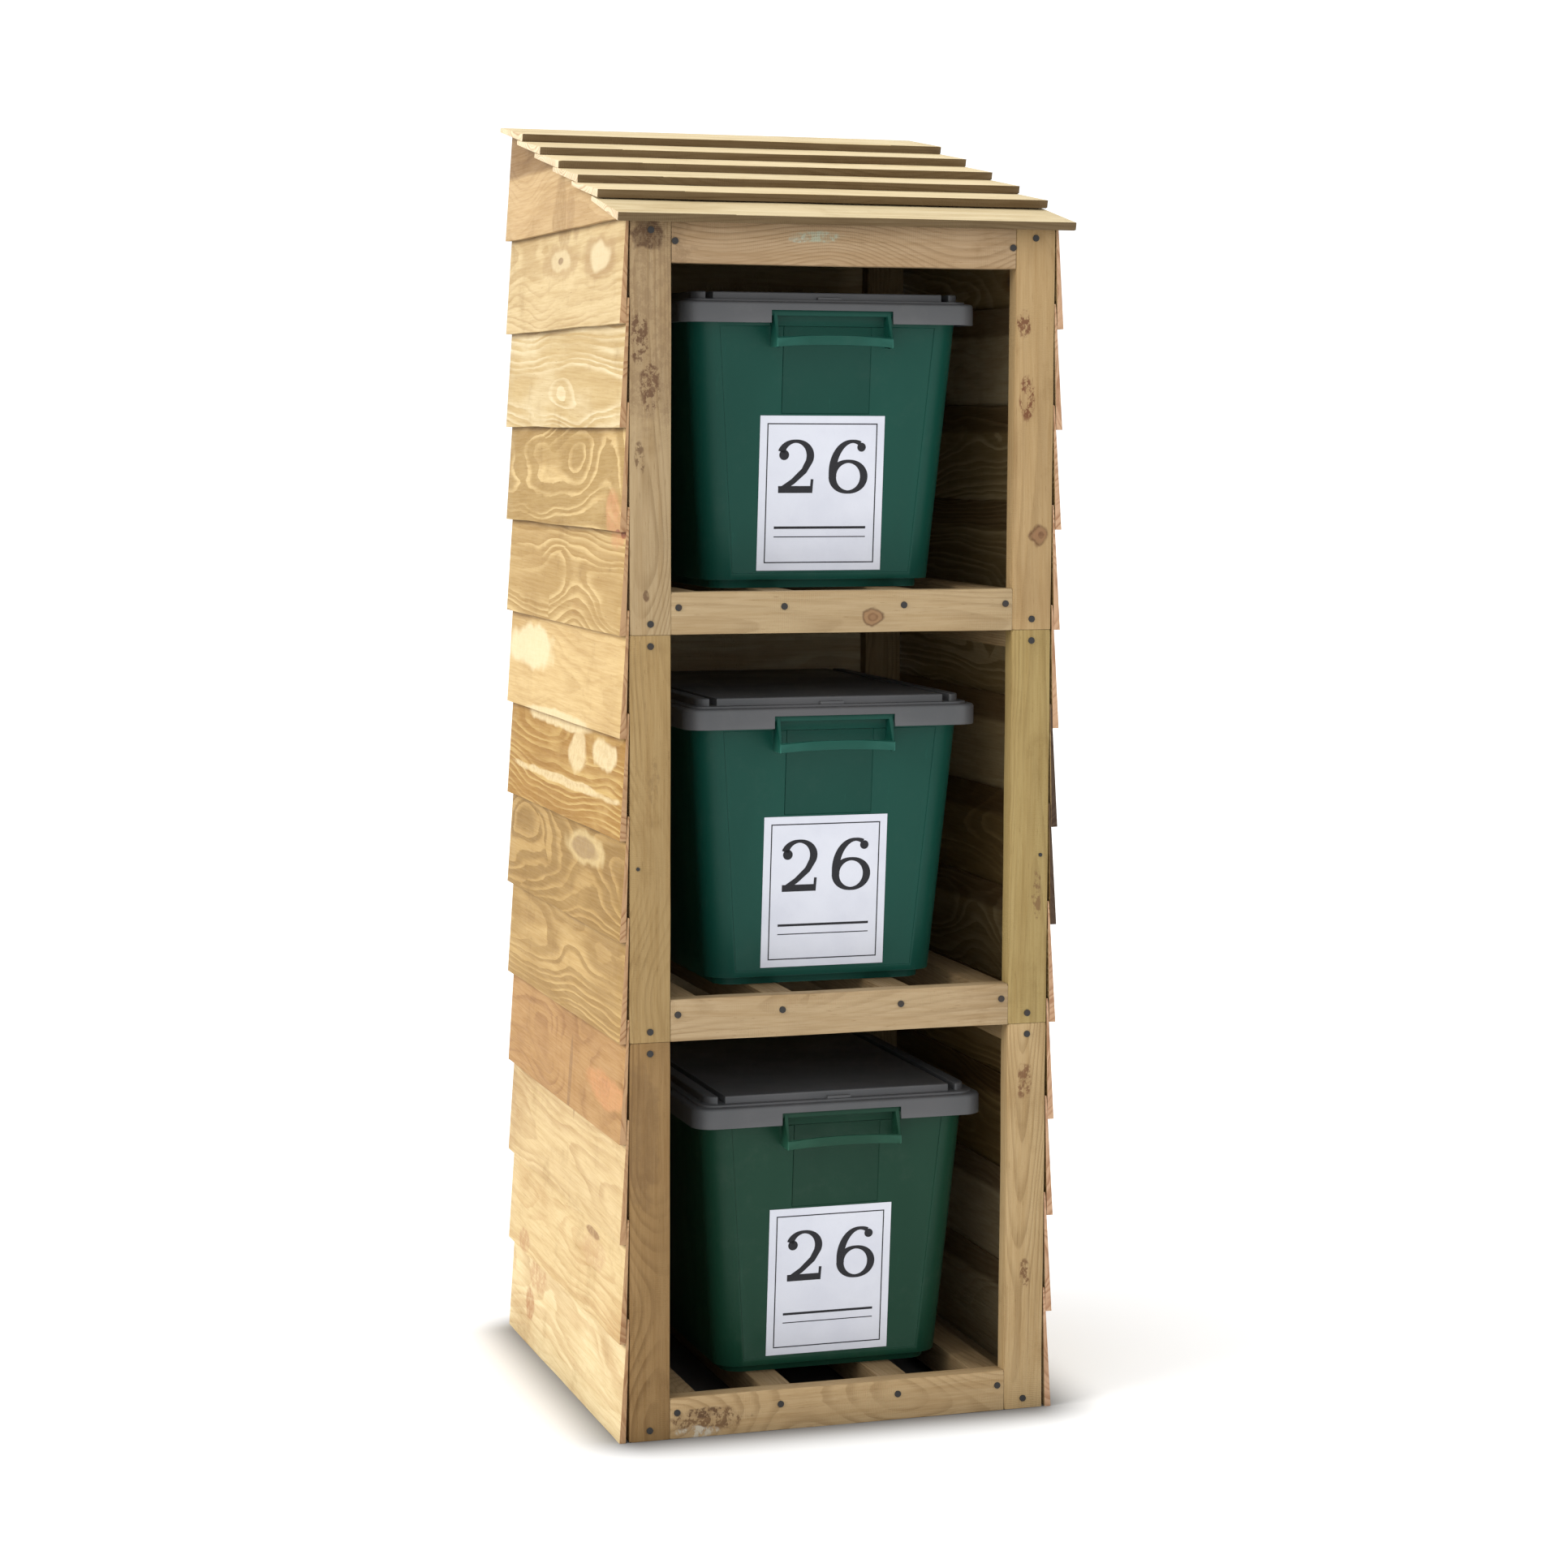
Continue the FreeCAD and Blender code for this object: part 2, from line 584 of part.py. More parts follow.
def build_handle(body, level, end, sign):
    """Two cheeks hang from the rim and carry a slightly bowed bar."""
    bar_front = f"({end_face(HANDLE_LOW)} + Sizes.handle_reach)"
    bar = new_sketch(body, f"{level}_{end}_bar", "XZ_Plane",
                     f"{-sign} * ({bar_front} - Sizes.handle_wall)")
    bowed_bar(bar)
    pad(body, bar, "Sizes.handle_wall", reverse=sign > 0)
    cheek_side = [(f"{sign} * ({end_face(HANDLE_LOW)} - Sizes.bin_wall / 2)", HANDLE_LOW),
                  (f"{sign} * {bar_front}", HANDLE_LOW),
                  (f"{sign} * {bar_front}", f"{HANDLE_LOW} + Sizes.handle_bar"),
                  (f"{sign} * {RIM_LENGTH} / 2", HANDLE_TOP),
                  (f"{sign} * ({end_face(HANDLE_TOP)} - Sizes.bin_wall / 2)", HANDLE_TOP)]
    for side, x in (("left", "-Sizes.handle_width / 2"),
                    ("right", "Sizes.handle_width / 2 - Sizes.handle_wall")):
        cheek = new_sketch(body, f"{level}_{end}_{side}_cheek", "YZ_Plane", x)
        polygon(cheek, cheek_side)
        pad(body, cheek, "Sizes.handle_wall")


def bowed_bar(sketch):
    """The bar seen from its end of the box: two flat arcs joined by upright ends."""
    half = value("Sizes.handle_width / 2")
    low = value(HANDLE_LOW)
    high = value(f"{HANDLE_LOW} + Sizes.handle_bar")
    bow = value("Sizes.handle_bow")
    lower = Part.Arc(V(-half, low), V(0, low + bow), V(half, low))
    upper = Part.Arc(V(-half, high), V(0, high + bow), V(half, high))
    sketch.addGeometry(lower, False)
    sketch.addGeometry(Part.LineSegment(V(half, low), V(half, high)), False)
    sketch.addGeometry(upper, False)
    sketch.addGeometry(Part.LineSegment(V(-half, high), V(-half, low)), False)
    # An arc laid clockwise is stored the other way round, so its ends are looked up.
    for arc in (0, 2):
        ends = {1: sketch.getPoint(arc, 1), 2: sketch.getPoint(arc, 2)}
        right = 1 if ends[1].x > 0 else 2
        upright = 1 if arc == 0 else 2
        sketch.addConstraint(Sketcher.Constraint("Coincident", arc, right, 1, upright))
        upright = 2 if arc == 0 else 1
        sketch.addConstraint(Sketcher.Constraint("Coincident", arc, 3 - right, 3, upright))
    radius = "((Sizes.handle_width / 2)^2 + Sizes.handle_bow^2) / (2 * Sizes.handle_bow)"
    for arc, name in ((0, "lower"), (2, "upper")):
        name_size(sketch, Sketcher.Constraint("Radius", arc, value(radius)), name, radius)
    sketch.addConstraint(Sketcher.Constraint("Vertical", 1))
    sketch.addConstraint(Sketcher.Constraint("Vertical", 3))
    name_size(sketch, Sketcher.Constraint("DistanceX", -1, 1, 1, 1, half), "right",
              "Sizes.handle_width / 2")
    name_size(sketch, Sketcher.Constraint("DistanceX", 3, 1, 1, 2, 2 * half), "width",
              "Sizes.handle_width")
    name_size(sketch, Sketcher.Constraint("DistanceY", -1, 1, 1, 1, low), "low", HANDLE_LOW)
    name_size(sketch, Sketcher.Constraint("DistanceY", 1, 1, 1, 2, high - low), "bar_height",
              "Sizes.handle_bar")
    sketch.addConstraint(Sketcher.Constraint("Horizontal", 3, 1, 1, 2))


def build_end_panel(body, level, end, sign):
    """A shallow sunk panel in the end wall, with a shallower band from the label to its top."""
    panel_high = f"({BIN_HEIGHT} - Sizes.panel_top)"
    panel_low = "Sizes.panel_bottom"
    sunk_recess(body, f"{level}_{end}_panel", sign, "Sizes.panel_depth",
                (panel_low, f"2 * ({side_face(panel_low)} - Sizes.panel_margin)"),
                (panel_high, f"2 * ({side_face(panel_high)} - Sizes.panel_margin)"))
    band_low = "(Sizes.label_bottom + Sizes.label_height + Sizes.band_stop)"
    sunk_recess(body, f"{level}_{end}_band", sign, "Sizes.panel_depth + Sizes.band_depth",
                (band_low, "Sizes.band_width"), (panel_high, "Sizes.band_width"))


def sunk_recess(body, name, sign, depth, low, high):
    """Cut a recess of even depth that follows the end wall's slope."""
    cutter_depth = f"(2 * ({depth}))"
    sections = []
    for part, (height, width) in (("low", low), ("high", high)):
        sketch = new_sketch(body, f"{name}_{part}", "XY_Plane", height)
        rectangle(sketch, width, cutter_depth, "0", f"{sign} * {end_face(height)}")
        sections.append(sketch)
    doc.recompute()
    before = body.Shape.Volume
    loft(body, "SubtractiveLoft", *sections)
    doc.recompute()
    if not body.Shape.Volume < before:
        raise RuntimeError(f"{name} cuts nothing")


# ---------------------------------------------------------------- lids

def edges_at_height(shape, height):
    """Names of the edges that lie flat at a height."""
    names = []
    for index, edge in enumerate(shape.Edges, start=1):
        box = edge.BoundBox
        if abs(box.ZMin - height) < 0.01 and abs(box.ZMax - height) < 0.01:
            names.append(f"Edge{index}")
    return names


def round_top(body, height, radius, name):
    """Round the edges of the tip feature that lie at a height."""
    doc.recompute()
    feature = body.newObject("PartDesign::Fillet", name)
    base = body.Group[-2]
    feature.Base = (base, edges_at_height(base.Shape, value(height)))
    feature.setExpression("Radius", radius)
    return feature


def build_lid(level, base):
    """A push-on lid: skirt, stepped deck, raised panel with side channels, handle notches."""
    body = doc.addObject("PartDesign::Body", f"{level}_lid")
    deck = "Sizes.lid_skirt"
    panel_floor = "(Sizes.lid_skirt + Sizes.lid_step)"

    skirt = new_sketch(body, f"{level}_skirt", "XY_Plane")
    rounded_rectangle(skirt, LID_WIDTH, LID_LENGTH, "Sizes.lid_corner")
    pad(body, skirt, "Sizes.lid_skirt")
    round_top(body, deck, "Sizes.lid_edge_round", f"{level}_skirt_round")

    step = new_sketch(body, f"{level}_step", "XY_Plane", deck)
    rounded_rectangle(step, f"{LID_WIDTH} - 2 * Sizes.lid_step_inset",
                      f"{LID_LENGTH} - 2 * Sizes.lid_step_inset",
                      "Sizes.lid_corner - Sizes.lid_step_inset / 2")
    pad(body, step, "Sizes.lid_step")
    panel = new_sketch(body, f"{level}_lid_panel", "XY_Plane", panel_floor)
    rounded_rectangle(panel, f"{LID_WIDTH} - 2 * Sizes.lid_panel_inset",
                      f"{LID_LENGTH} - 2 * Sizes.lid_panel_inset",
                      "Sizes.lid_corner - Sizes.lid_panel_inset / 2")
    pad(body, panel, "Sizes.lid_panel")
    round_top(body, f"{panel_floor} + Sizes.lid_panel", "Sizes.lid_edge_round / 2",
              f"{level}_panel_round")

    channels = new_sketch(body, f"{level}_channels", "XY_Plane",
                          f"{panel_floor} + Sizes.lid_panel")
    for side in ("-", ""):
        rectangle(channels, "Sizes.lid_channel", LID_LENGTH,
                  f"{side}Sizes.lid_channel_centre")
    cut_away(body, channels, "Sizes.lid_panel")

    tab = new_sketch(body, f"{level}_tab", "XY_Plane", deck)
    rectangle(tab, "Sizes.lid_tab_width", "Sizes.lid_tab_depth", "0",
              f"-{LID_LENGTH} / 2 + Sizes.lid_panel_inset - Sizes.lid_tab_depth / 2")
    pad(body, tab, f"{LID_RISE} / 2")

    inside = new_sketch(body, f"{level}_lid_inside", "XY_Plane")
    rounded_rectangle(inside, f"{LID_WIDTH} - 2 * Sizes.lid_wall",
                      f"{LID_LENGTH} - 2 * Sizes.lid_wall", "Sizes.lid_corner - Sizes.lid_wall")
    cut_away(body, inside, "Sizes.lid_skirt - Sizes.lid_wall", reverse=True)
    hollow = new_sketch(body, f"{level}_panel_hollow", "XY_Plane",
                        "Sizes.lid_skirt - Sizes.lid_wall")
    inset = "(Sizes.lid_panel_inset + Sizes.lid_wall)"
    rectangle(hollow, "2 * (Sizes.lid_channel_centre - Sizes.lid_channel / 2 - Sizes.lid_wall)",
              f"{LID_LENGTH} - 2 * {inset}")
    cut_away(body, hollow, LID_RISE, reverse=True)

    notch = new_sketch(body, f"{level}_notch", "XZ_Plane", f"{LID_LENGTH} / 2")
    rectangle(notch, "Sizes.handle_width + 2 * Sizes.notch_clearance",
              "2 * Sizes.notch_height")
    cut_away(body, notch, LID_LENGTH)

    place(body, f"Sizes.{level}_bin_shift", BIN_CENTRE_Y,
          f"{base} + Sizes.rail_height + {BIN_HEIGHT} + Sizes.lid_wall - Sizes.lid_skirt")
    keep(body, f"{level}_lid")


# ---------------------------------------------------------------- labels

def build_label(level, base):
    """A thin card on the sunk front panel, leaning with the wall."""
    lean = f"atan({TAPER_RATE})"
    face = f"({end_face('Sizes.label_bottom')} - Sizes.panel_depth)"
    card = timber(f"{level}_label",
                  f"Sizes.{level}_bin_shift + Sizes.{level}_label_shift"
                  " - Sizes.label_width / 2",
                  f"{BIN_CENTRE_Y} - {face} - Sizes.label_thickness * cos({lean})",
                  f"{base} + Sizes.rail_height + Sizes.label_bottom"
                  f" - Sizes.label_thickness * sin({lean})",
                  "Sizes.label_width", "Sizes.label_thickness", "Sizes.label_height")
    card.Placement = FreeCAD.Placement(card.Placement.Base, FreeCAD.Rotation(X_AXIS, 5))
    card.setExpression("Placement.Rotation.Angle", lean)
    keep(card, f"{level}_label")


# ---------------------------------------------------------------- nails

def build_nails():
    """Wire nails in the front frame: post ends, rails into slats, and the header."""
    head = value("Sizes.nail_head")
    front = value(FRONT)
    post_centre = value(f"{HALF_WIDTH} - Sizes.post_width / 2")
    post_nails = []
    rail_nails = []
    for index in range(len(LEVELS)):
        low = value(f"{level_base(index)} + Sizes.nail_end_distance")
        high = value(f"{level_base(index + 1)} - Sizes.nail_end_distance")
        for side in (-1, 1):
            for height in (low, high):
                post_nails.append(nail(V(side * post_centre, front, height), Y_AXIS, head))
            for centre in ("Sizes.outer_nail_centre", "Sizes.inner_slat_centre"):
                height = value(f"{level_base(index)} + Sizes.rail_nail_height")
                point = V(side * value(centre), front, height)
                rail_nails.append(nail(point, Y_AXIS, head))
    brad_height = value(f"{level_base(1)} + Sizes.module_height * 0.43")
    brad_x = value(f"{HALF_WIDTH} - Sizes.post_width / 5")
    header_height = value(f"{EAVES} - Sizes.rail_height / 2")
    for side in (-1, 1):
        post_nails.append(nail(V(side * brad_x, front, brad_height), Y_AXIS,
                               value("Sizes.brad_head")))
        point = V(side * value("Sizes.header_nail_centre"), front, header_height)
        rail_nails.append(nail(point, Y_AXIS, head))
    for label, shapes in (("post_nails", post_nails), ("rail_nails", rail_nails)):
        item = doc.addObject("Part::Feature", label)
        item.Shape = Part.makeCompound(shapes)
        item.Placement = FreeCAD.Placement()
        keep(item, label)


# ---------------------------------------------------------------- build and write

build_frame()
build_cladding()
build_roof()
for level_index, level_name in enumerate(LEVELS):
    build_bin(level_name, level_base(level_index))
    build_lid(level_name, level_base(level_index))
    build_label(level_name, level_base(level_index))
build_nails()
doc.recompute()

for item in doc.Objects:
    if {"Invalid", "Error"} & set(item.State):
        raise RuntimeError(f"{item.Label} did not compute: {item.State}")
for item in nodes:
    if item.Shape.isNull() or not item.Shape.isValid():
        raise RuntimeError(f"{item.Label} has no valid shape")

os.makedirs("parts", exist_ok=True)
for item in nodes:
    item.Shape.exportStep(f"parts/{item.Label}.step")
print(f"{len(nodes)} nodes written")
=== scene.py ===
"""Looks for the recycling box store: timber, moulded boxes and lids, labels, light and camera."""
import json
import math
import random

import bmesh
import bpy
from mathutils import Matrix, Vector, noise


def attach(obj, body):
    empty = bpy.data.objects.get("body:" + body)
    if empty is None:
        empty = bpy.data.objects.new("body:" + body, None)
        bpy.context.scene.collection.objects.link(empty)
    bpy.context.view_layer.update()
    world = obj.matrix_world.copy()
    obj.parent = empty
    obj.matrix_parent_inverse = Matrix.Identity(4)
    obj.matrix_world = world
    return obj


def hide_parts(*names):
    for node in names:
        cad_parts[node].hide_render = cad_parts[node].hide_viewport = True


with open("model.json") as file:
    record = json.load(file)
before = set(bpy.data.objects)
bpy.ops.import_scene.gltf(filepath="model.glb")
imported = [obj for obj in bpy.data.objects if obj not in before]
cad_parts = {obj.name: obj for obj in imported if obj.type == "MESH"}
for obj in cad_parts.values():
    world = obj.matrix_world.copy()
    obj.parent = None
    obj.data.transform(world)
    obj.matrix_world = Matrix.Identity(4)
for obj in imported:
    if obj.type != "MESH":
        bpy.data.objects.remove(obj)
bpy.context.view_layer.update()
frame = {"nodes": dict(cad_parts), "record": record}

MM = 0.001
LEVELS = ("bottom", "middle", "top")
NODES = frame["nodes"]
BODY_OF = {node: body for body, nodes in frame["record"]["behaviour"]["bodies"].items()
           for node in nodes}


# ------------------------------------------------------------------ node graphs

class Graph:
    """A material's node tree, with short ways to add the nodes used here."""

    def __init__(self, name):
        self.material = bpy.data.materials.new(name)
        self.material.use_nodes = True
        self.tree = self.material.node_tree
        self.tree.nodes.clear()

    def add(self, kind, inputs=None, **settings):
        """Add a node; sockets given as inputs are linked, numbers are set."""
        item = self.tree.nodes.new(kind)
        for key, setting in settings.items():
            setattr(item, key, setting)
        for key, given in (inputs or {}).items():
            if isinstance(given, bpy.types.NodeSocket):
                self.tree.links.new(given, item.inputs[key])
            else:
                item.inputs[key].default_value = given
        return item

    def math(self, operation, first, second=0.0, third=0.0, clamp=False):
        item = self.add("ShaderNodeMath", {0: first, 1: second, 2: third},
                        operation=operation, use_clamp=clamp)
        return item.outputs[0]

    def vector(self, operation, first, second):
        item = self.add("ShaderNodeVectorMath", {0: first, 1: second}, operation=operation)
        return item.outputs["Vector"]

    def mix(self, factor, first, second, blend="MIX"):
        item = self.add("ShaderNodeMix", data_type="RGBA", blend_type=blend)
        for index, given in ((0, factor), (6, first), (7, second)):
            if isinstance(given, bpy.types.NodeSocket):
                self.tree.links.new(given, item.inputs[index])
            else:
                item.inputs[index].default_value = given
        return item.outputs[2]

    def noise(self, vector, scale, detail=3.0, roughness=0.5):
        item = self.add("ShaderNodeTexNoise", {"Vector": vector, "Scale": scale,
                                               "Detail": detail, "Roughness": roughness})
        return item.outputs["Fac"]

    def smooth(self, given, low, high, to_low=0.0, to_high=1.0):
        """A smooth step of a value between two limits."""
        item = self.add("ShaderNodeMapRange",
                        {"Value": given, "From Min": low, "From Max": high,
                         "To Min": to_low, "To Max": to_high},
                        interpolation_type="SMOOTHSTEP")
        return item.outputs["Result"]

    def attribute(self, name, output="Vector"):
        return self.add("ShaderNodeAttribute", attribute_name=name).outputs[output]

    def bump(self, height, strength, distance, normal=None):
        inputs = {"Height": height, "Strength": strength, "Distance": distance}
        if normal is not None:
            inputs["Normal"] = normal
        return self.add("ShaderNodeBump", inputs).outputs["Normal"]

    def finish(self, inputs):
        """Add the surface shader and the output."""
        shader = self.add("ShaderNodeBsdfPrincipled", inputs)
        self.add("ShaderNodeOutputMaterial", {"Surface": shader.outputs["BSDF"]})
        return self.material


def rgb(red, green, blue):
    return (red, green, blue, 1.0)


# ------------------------------------------------------------------ timber material

# stains, knots and bruises at their places on the store: centre, half-size, colour, strength
# and how broken up each one is
FRAME_MARKS = (
    ((0.035, -0.277, 0.982), (0.0135, 0.02, 0.0125), (0.085, 0.040, 0.018), 0.90, 0.1),
    ((0.035, -0.277, 0.982), (0.0110, 0.02, 0.0100), (0.250, 0.145, 0.070), 0.95, 0.1),
    ((0.036, -0.277, 0.982), (0.0060, 0.02, 0.0055), (0.140, 0.070, 0.032), 0.80, 0.3),
    ((0.036, -0.277, 0.982), (0.0035, 0.02, 0.0032), (0.230, 0.130, 0.064), 0.80, 0.3),
    ((0.248, -0.277, 1.078), (0.0130, 0.02, 0.0150), (0.100, 0.043, 0.018), 0.85, 0.3),
    ((0.249, -0.277, 1.078), (0.0095, 0.02, 0.0110), (0.240, 0.128, 0.062), 0.90, 0.2),
    ((0.250, -0.277, 1.078), (0.0045, 0.02, 0.0050), (0.120, 0.055, 0.024), 0.80, 0.4),
    ((0.230, -0.277, 1.243), (0.0100, 0.02, 0.0280), (0.130, 0.048, 0.020), 0.95, 0.9),
    ((0.225, -0.277, 1.330), (0.0090, 0.02, 0.0180), (0.130, 0.052, 0.022), 0.95, 0.9),
    ((0.236, -0.277, 0.412), (0.0100, 0.02, 0.0260), (0.140, 0.066, 0.028), 0.90, 0.9),
    ((0.240, -0.277, 0.170), (0.0080, 0.02, 0.0200), (0.130, 0.062, 0.026), 0.90, 0.9),
    ((0.250, -0.277, 0.640), (0.0060, 0.02, 0.0300), (0.150, 0.080, 0.034), 0.80, 0.9),
    ((-0.245, -0.277, 1.345), (0.0600, 0.06, 0.1500), (0.190, 0.120, 0.062), 0.62, 0.5),
    ((-0.243, -0.277, 1.428), (0.0200, 0.03, 0.0200), (0.070, 0.034, 0.016), 0.85, 0.3),
    ((-0.252, -0.277, 1.310), (0.0110, 0.02, 0.0340), (0.090, 0.042, 0.020), 0.85, 0.9),
    ((-0.240, -0.277, 1.252), (0.0120, 0.02, 0.0300), (0.100, 0.048, 0.024), 0.85, 0.9),
    ((-0.252, -0.277, 1.170), (0.0060, 0.02, 0.0200), (0.110, 0.060, 0.030), 0.80, 0.9),
    ((-0.244, -0.277, 1.010), (0.0040, 0.02, 0.0080), (0.100, 0.050, 0.024), 0.80, 0.4),
    ((-0.036, -0.277, 1.430), (0.0320, 0.03, 0.0070), (0.310, 0.315, 0.225), 0.95, 0.8),
    ((-0.060, -0.277, 1.426), (0.0130, 0.03, 0.0040), (0.330, 0.330, 0.250), 0.90, 0.8),
    ((-0.165, -0.277, 0.020), (0.0480, 0.03, 0.0150), (0.115, 0.060, 0.026), 0.90, 0.8),
    ((-0.170, -0.277, 0.030), (0.0260, 0.03, 0.0070), (0.080, 0.040, 0.018), 0.85, 0.8),
    ((-0.180, -0.277, 0.007), (0.0280, 0.03, 0.0075), (0.400, 0.350, 0.270), 0.95, 0.9),
    ((-0.248, -0.277, 0.371), (0.0220, 0.03, 0.0900), (0.140, 0.080, 0.034), 0.45, 0.3),
    ((-0.236, -0.277, 0.790), (0.0080, 0.02, 0.0300), (0.190, 0.120, 0.050), 0.55, 0.8),
)
WALL_MARKS = (
    ((-0.276, -0.165, 1.405), (0.05, 0.080, 0.030), (0.270, 0.165, 0.072), 0.55, 0.1),
    ((-0.276, -0.165, 1.407), (0.05, 0.050, 0.021), (0.520, 0.430, 0.265), 0.85, 0.1),
    ((-0.276, 0.020, 1.408), (0.05, 0.090, 0.025), (0.280, 0.175, 0.078), 0.50, 0.3),
    ((-0.276, 0.020, 1.409), (0.05, 0.055, 0.015), (0.500, 0.405, 0.240), 0.80, 0.2),
    ((-0.276, 0.022, 1.409), (0.05, 0.014, 0.005), (0.160, 0.090, 0.040), 0.80, 0.2),
    ((-0.276, -0.245, 1.095), (0.05, 0.040, 0.034), (0.420, 0.200, 0.092), 0.65, 0.4),
    ((-0.276, -0.268, 1.082), (0.05, 0.014, 0.006), (0.170, 0.040, 0.022), 0.80, 0.2),
    ((-0.276, 0.030, 0.840), (0.05, 0.170, 0.012), (0.540, 0.440, 0.260), 0.90, 0.2),
    ((-0.276, -0.060, 0.808), (0.05, 0.045, 0.026), (0.530, 0.425, 0.245), 0.85, 0.2),
    ((-0.276, -0.180, 0.815), (0.05, 0.060, 0.018), (0.540, 0.440, 0.260), 0.85, 0.2),
    ((-0.276, 0.000, 0.766), (0.05, 0.270, 0.0065), (0.530, 0.430, 0.250), 0.80, 0.3),
    ((-0.276, -0.093, 0.693), (0.05, 0.105, 0.022), (0.450, 0.340, 0.165), 0.80, 0.2),
    ((-0.276, -0.090, 0.692), (0.05, 0.075, 0.014), (0.230, 0.148, 0.066), 0.85, 0.2),
    ((-0.276, -0.209, 0.413), (0.05, 0.100, 0.022), (0.440, 0.205, 0.085), 0.65, 0.4),
    ((-0.276, -0.030, 0.400), (0.05, 0.008, 0.060), (0.180, 0.100, 0.045), 0.60, 0.2),
    ((-0.276, 0.190, 0.055), (0.05, 0.026, 0.024), (0.290, 0.130, 0.050), 0.75, 0.4),
    ((-0.276, 0.160, 0.100), (0.05, 0.050, 0.022), (0.350, 0.190, 0.086), 0.65, 0.6),
    ((-0.276, 0.215, 0.135), (0.05, 0.030, 0.016), (0.330, 0.175, 0.080), 0.65, 0.6),
    ((-0.276, 0.010, 1.470), (0.05, 0.035, 0.045), (0.240, 0.145, 0.060), 0.60, 0.4),
    ((-0.276, -0.045, 1.462), (0.05, 0.020, 0.030), (0.250, 0.150, 0.065), 0.55, 0.4),
    ((-0.276, -0.125, 0.222), (0.05, 0.035, 0.006), (0.210, 0.115, 0.052), 0.85, 0.3),
    ((-0.276, -0.140, 0.200), (0.05, 0.060, 0.020), (0.370, 0.225, 0.110), 0.55, 0.6),
    ((-0.276, 0.180, 0.925), (0.05, 0.120, 0.030), (0.570, 0.480, 0.300), 0.85, 0.1),
)


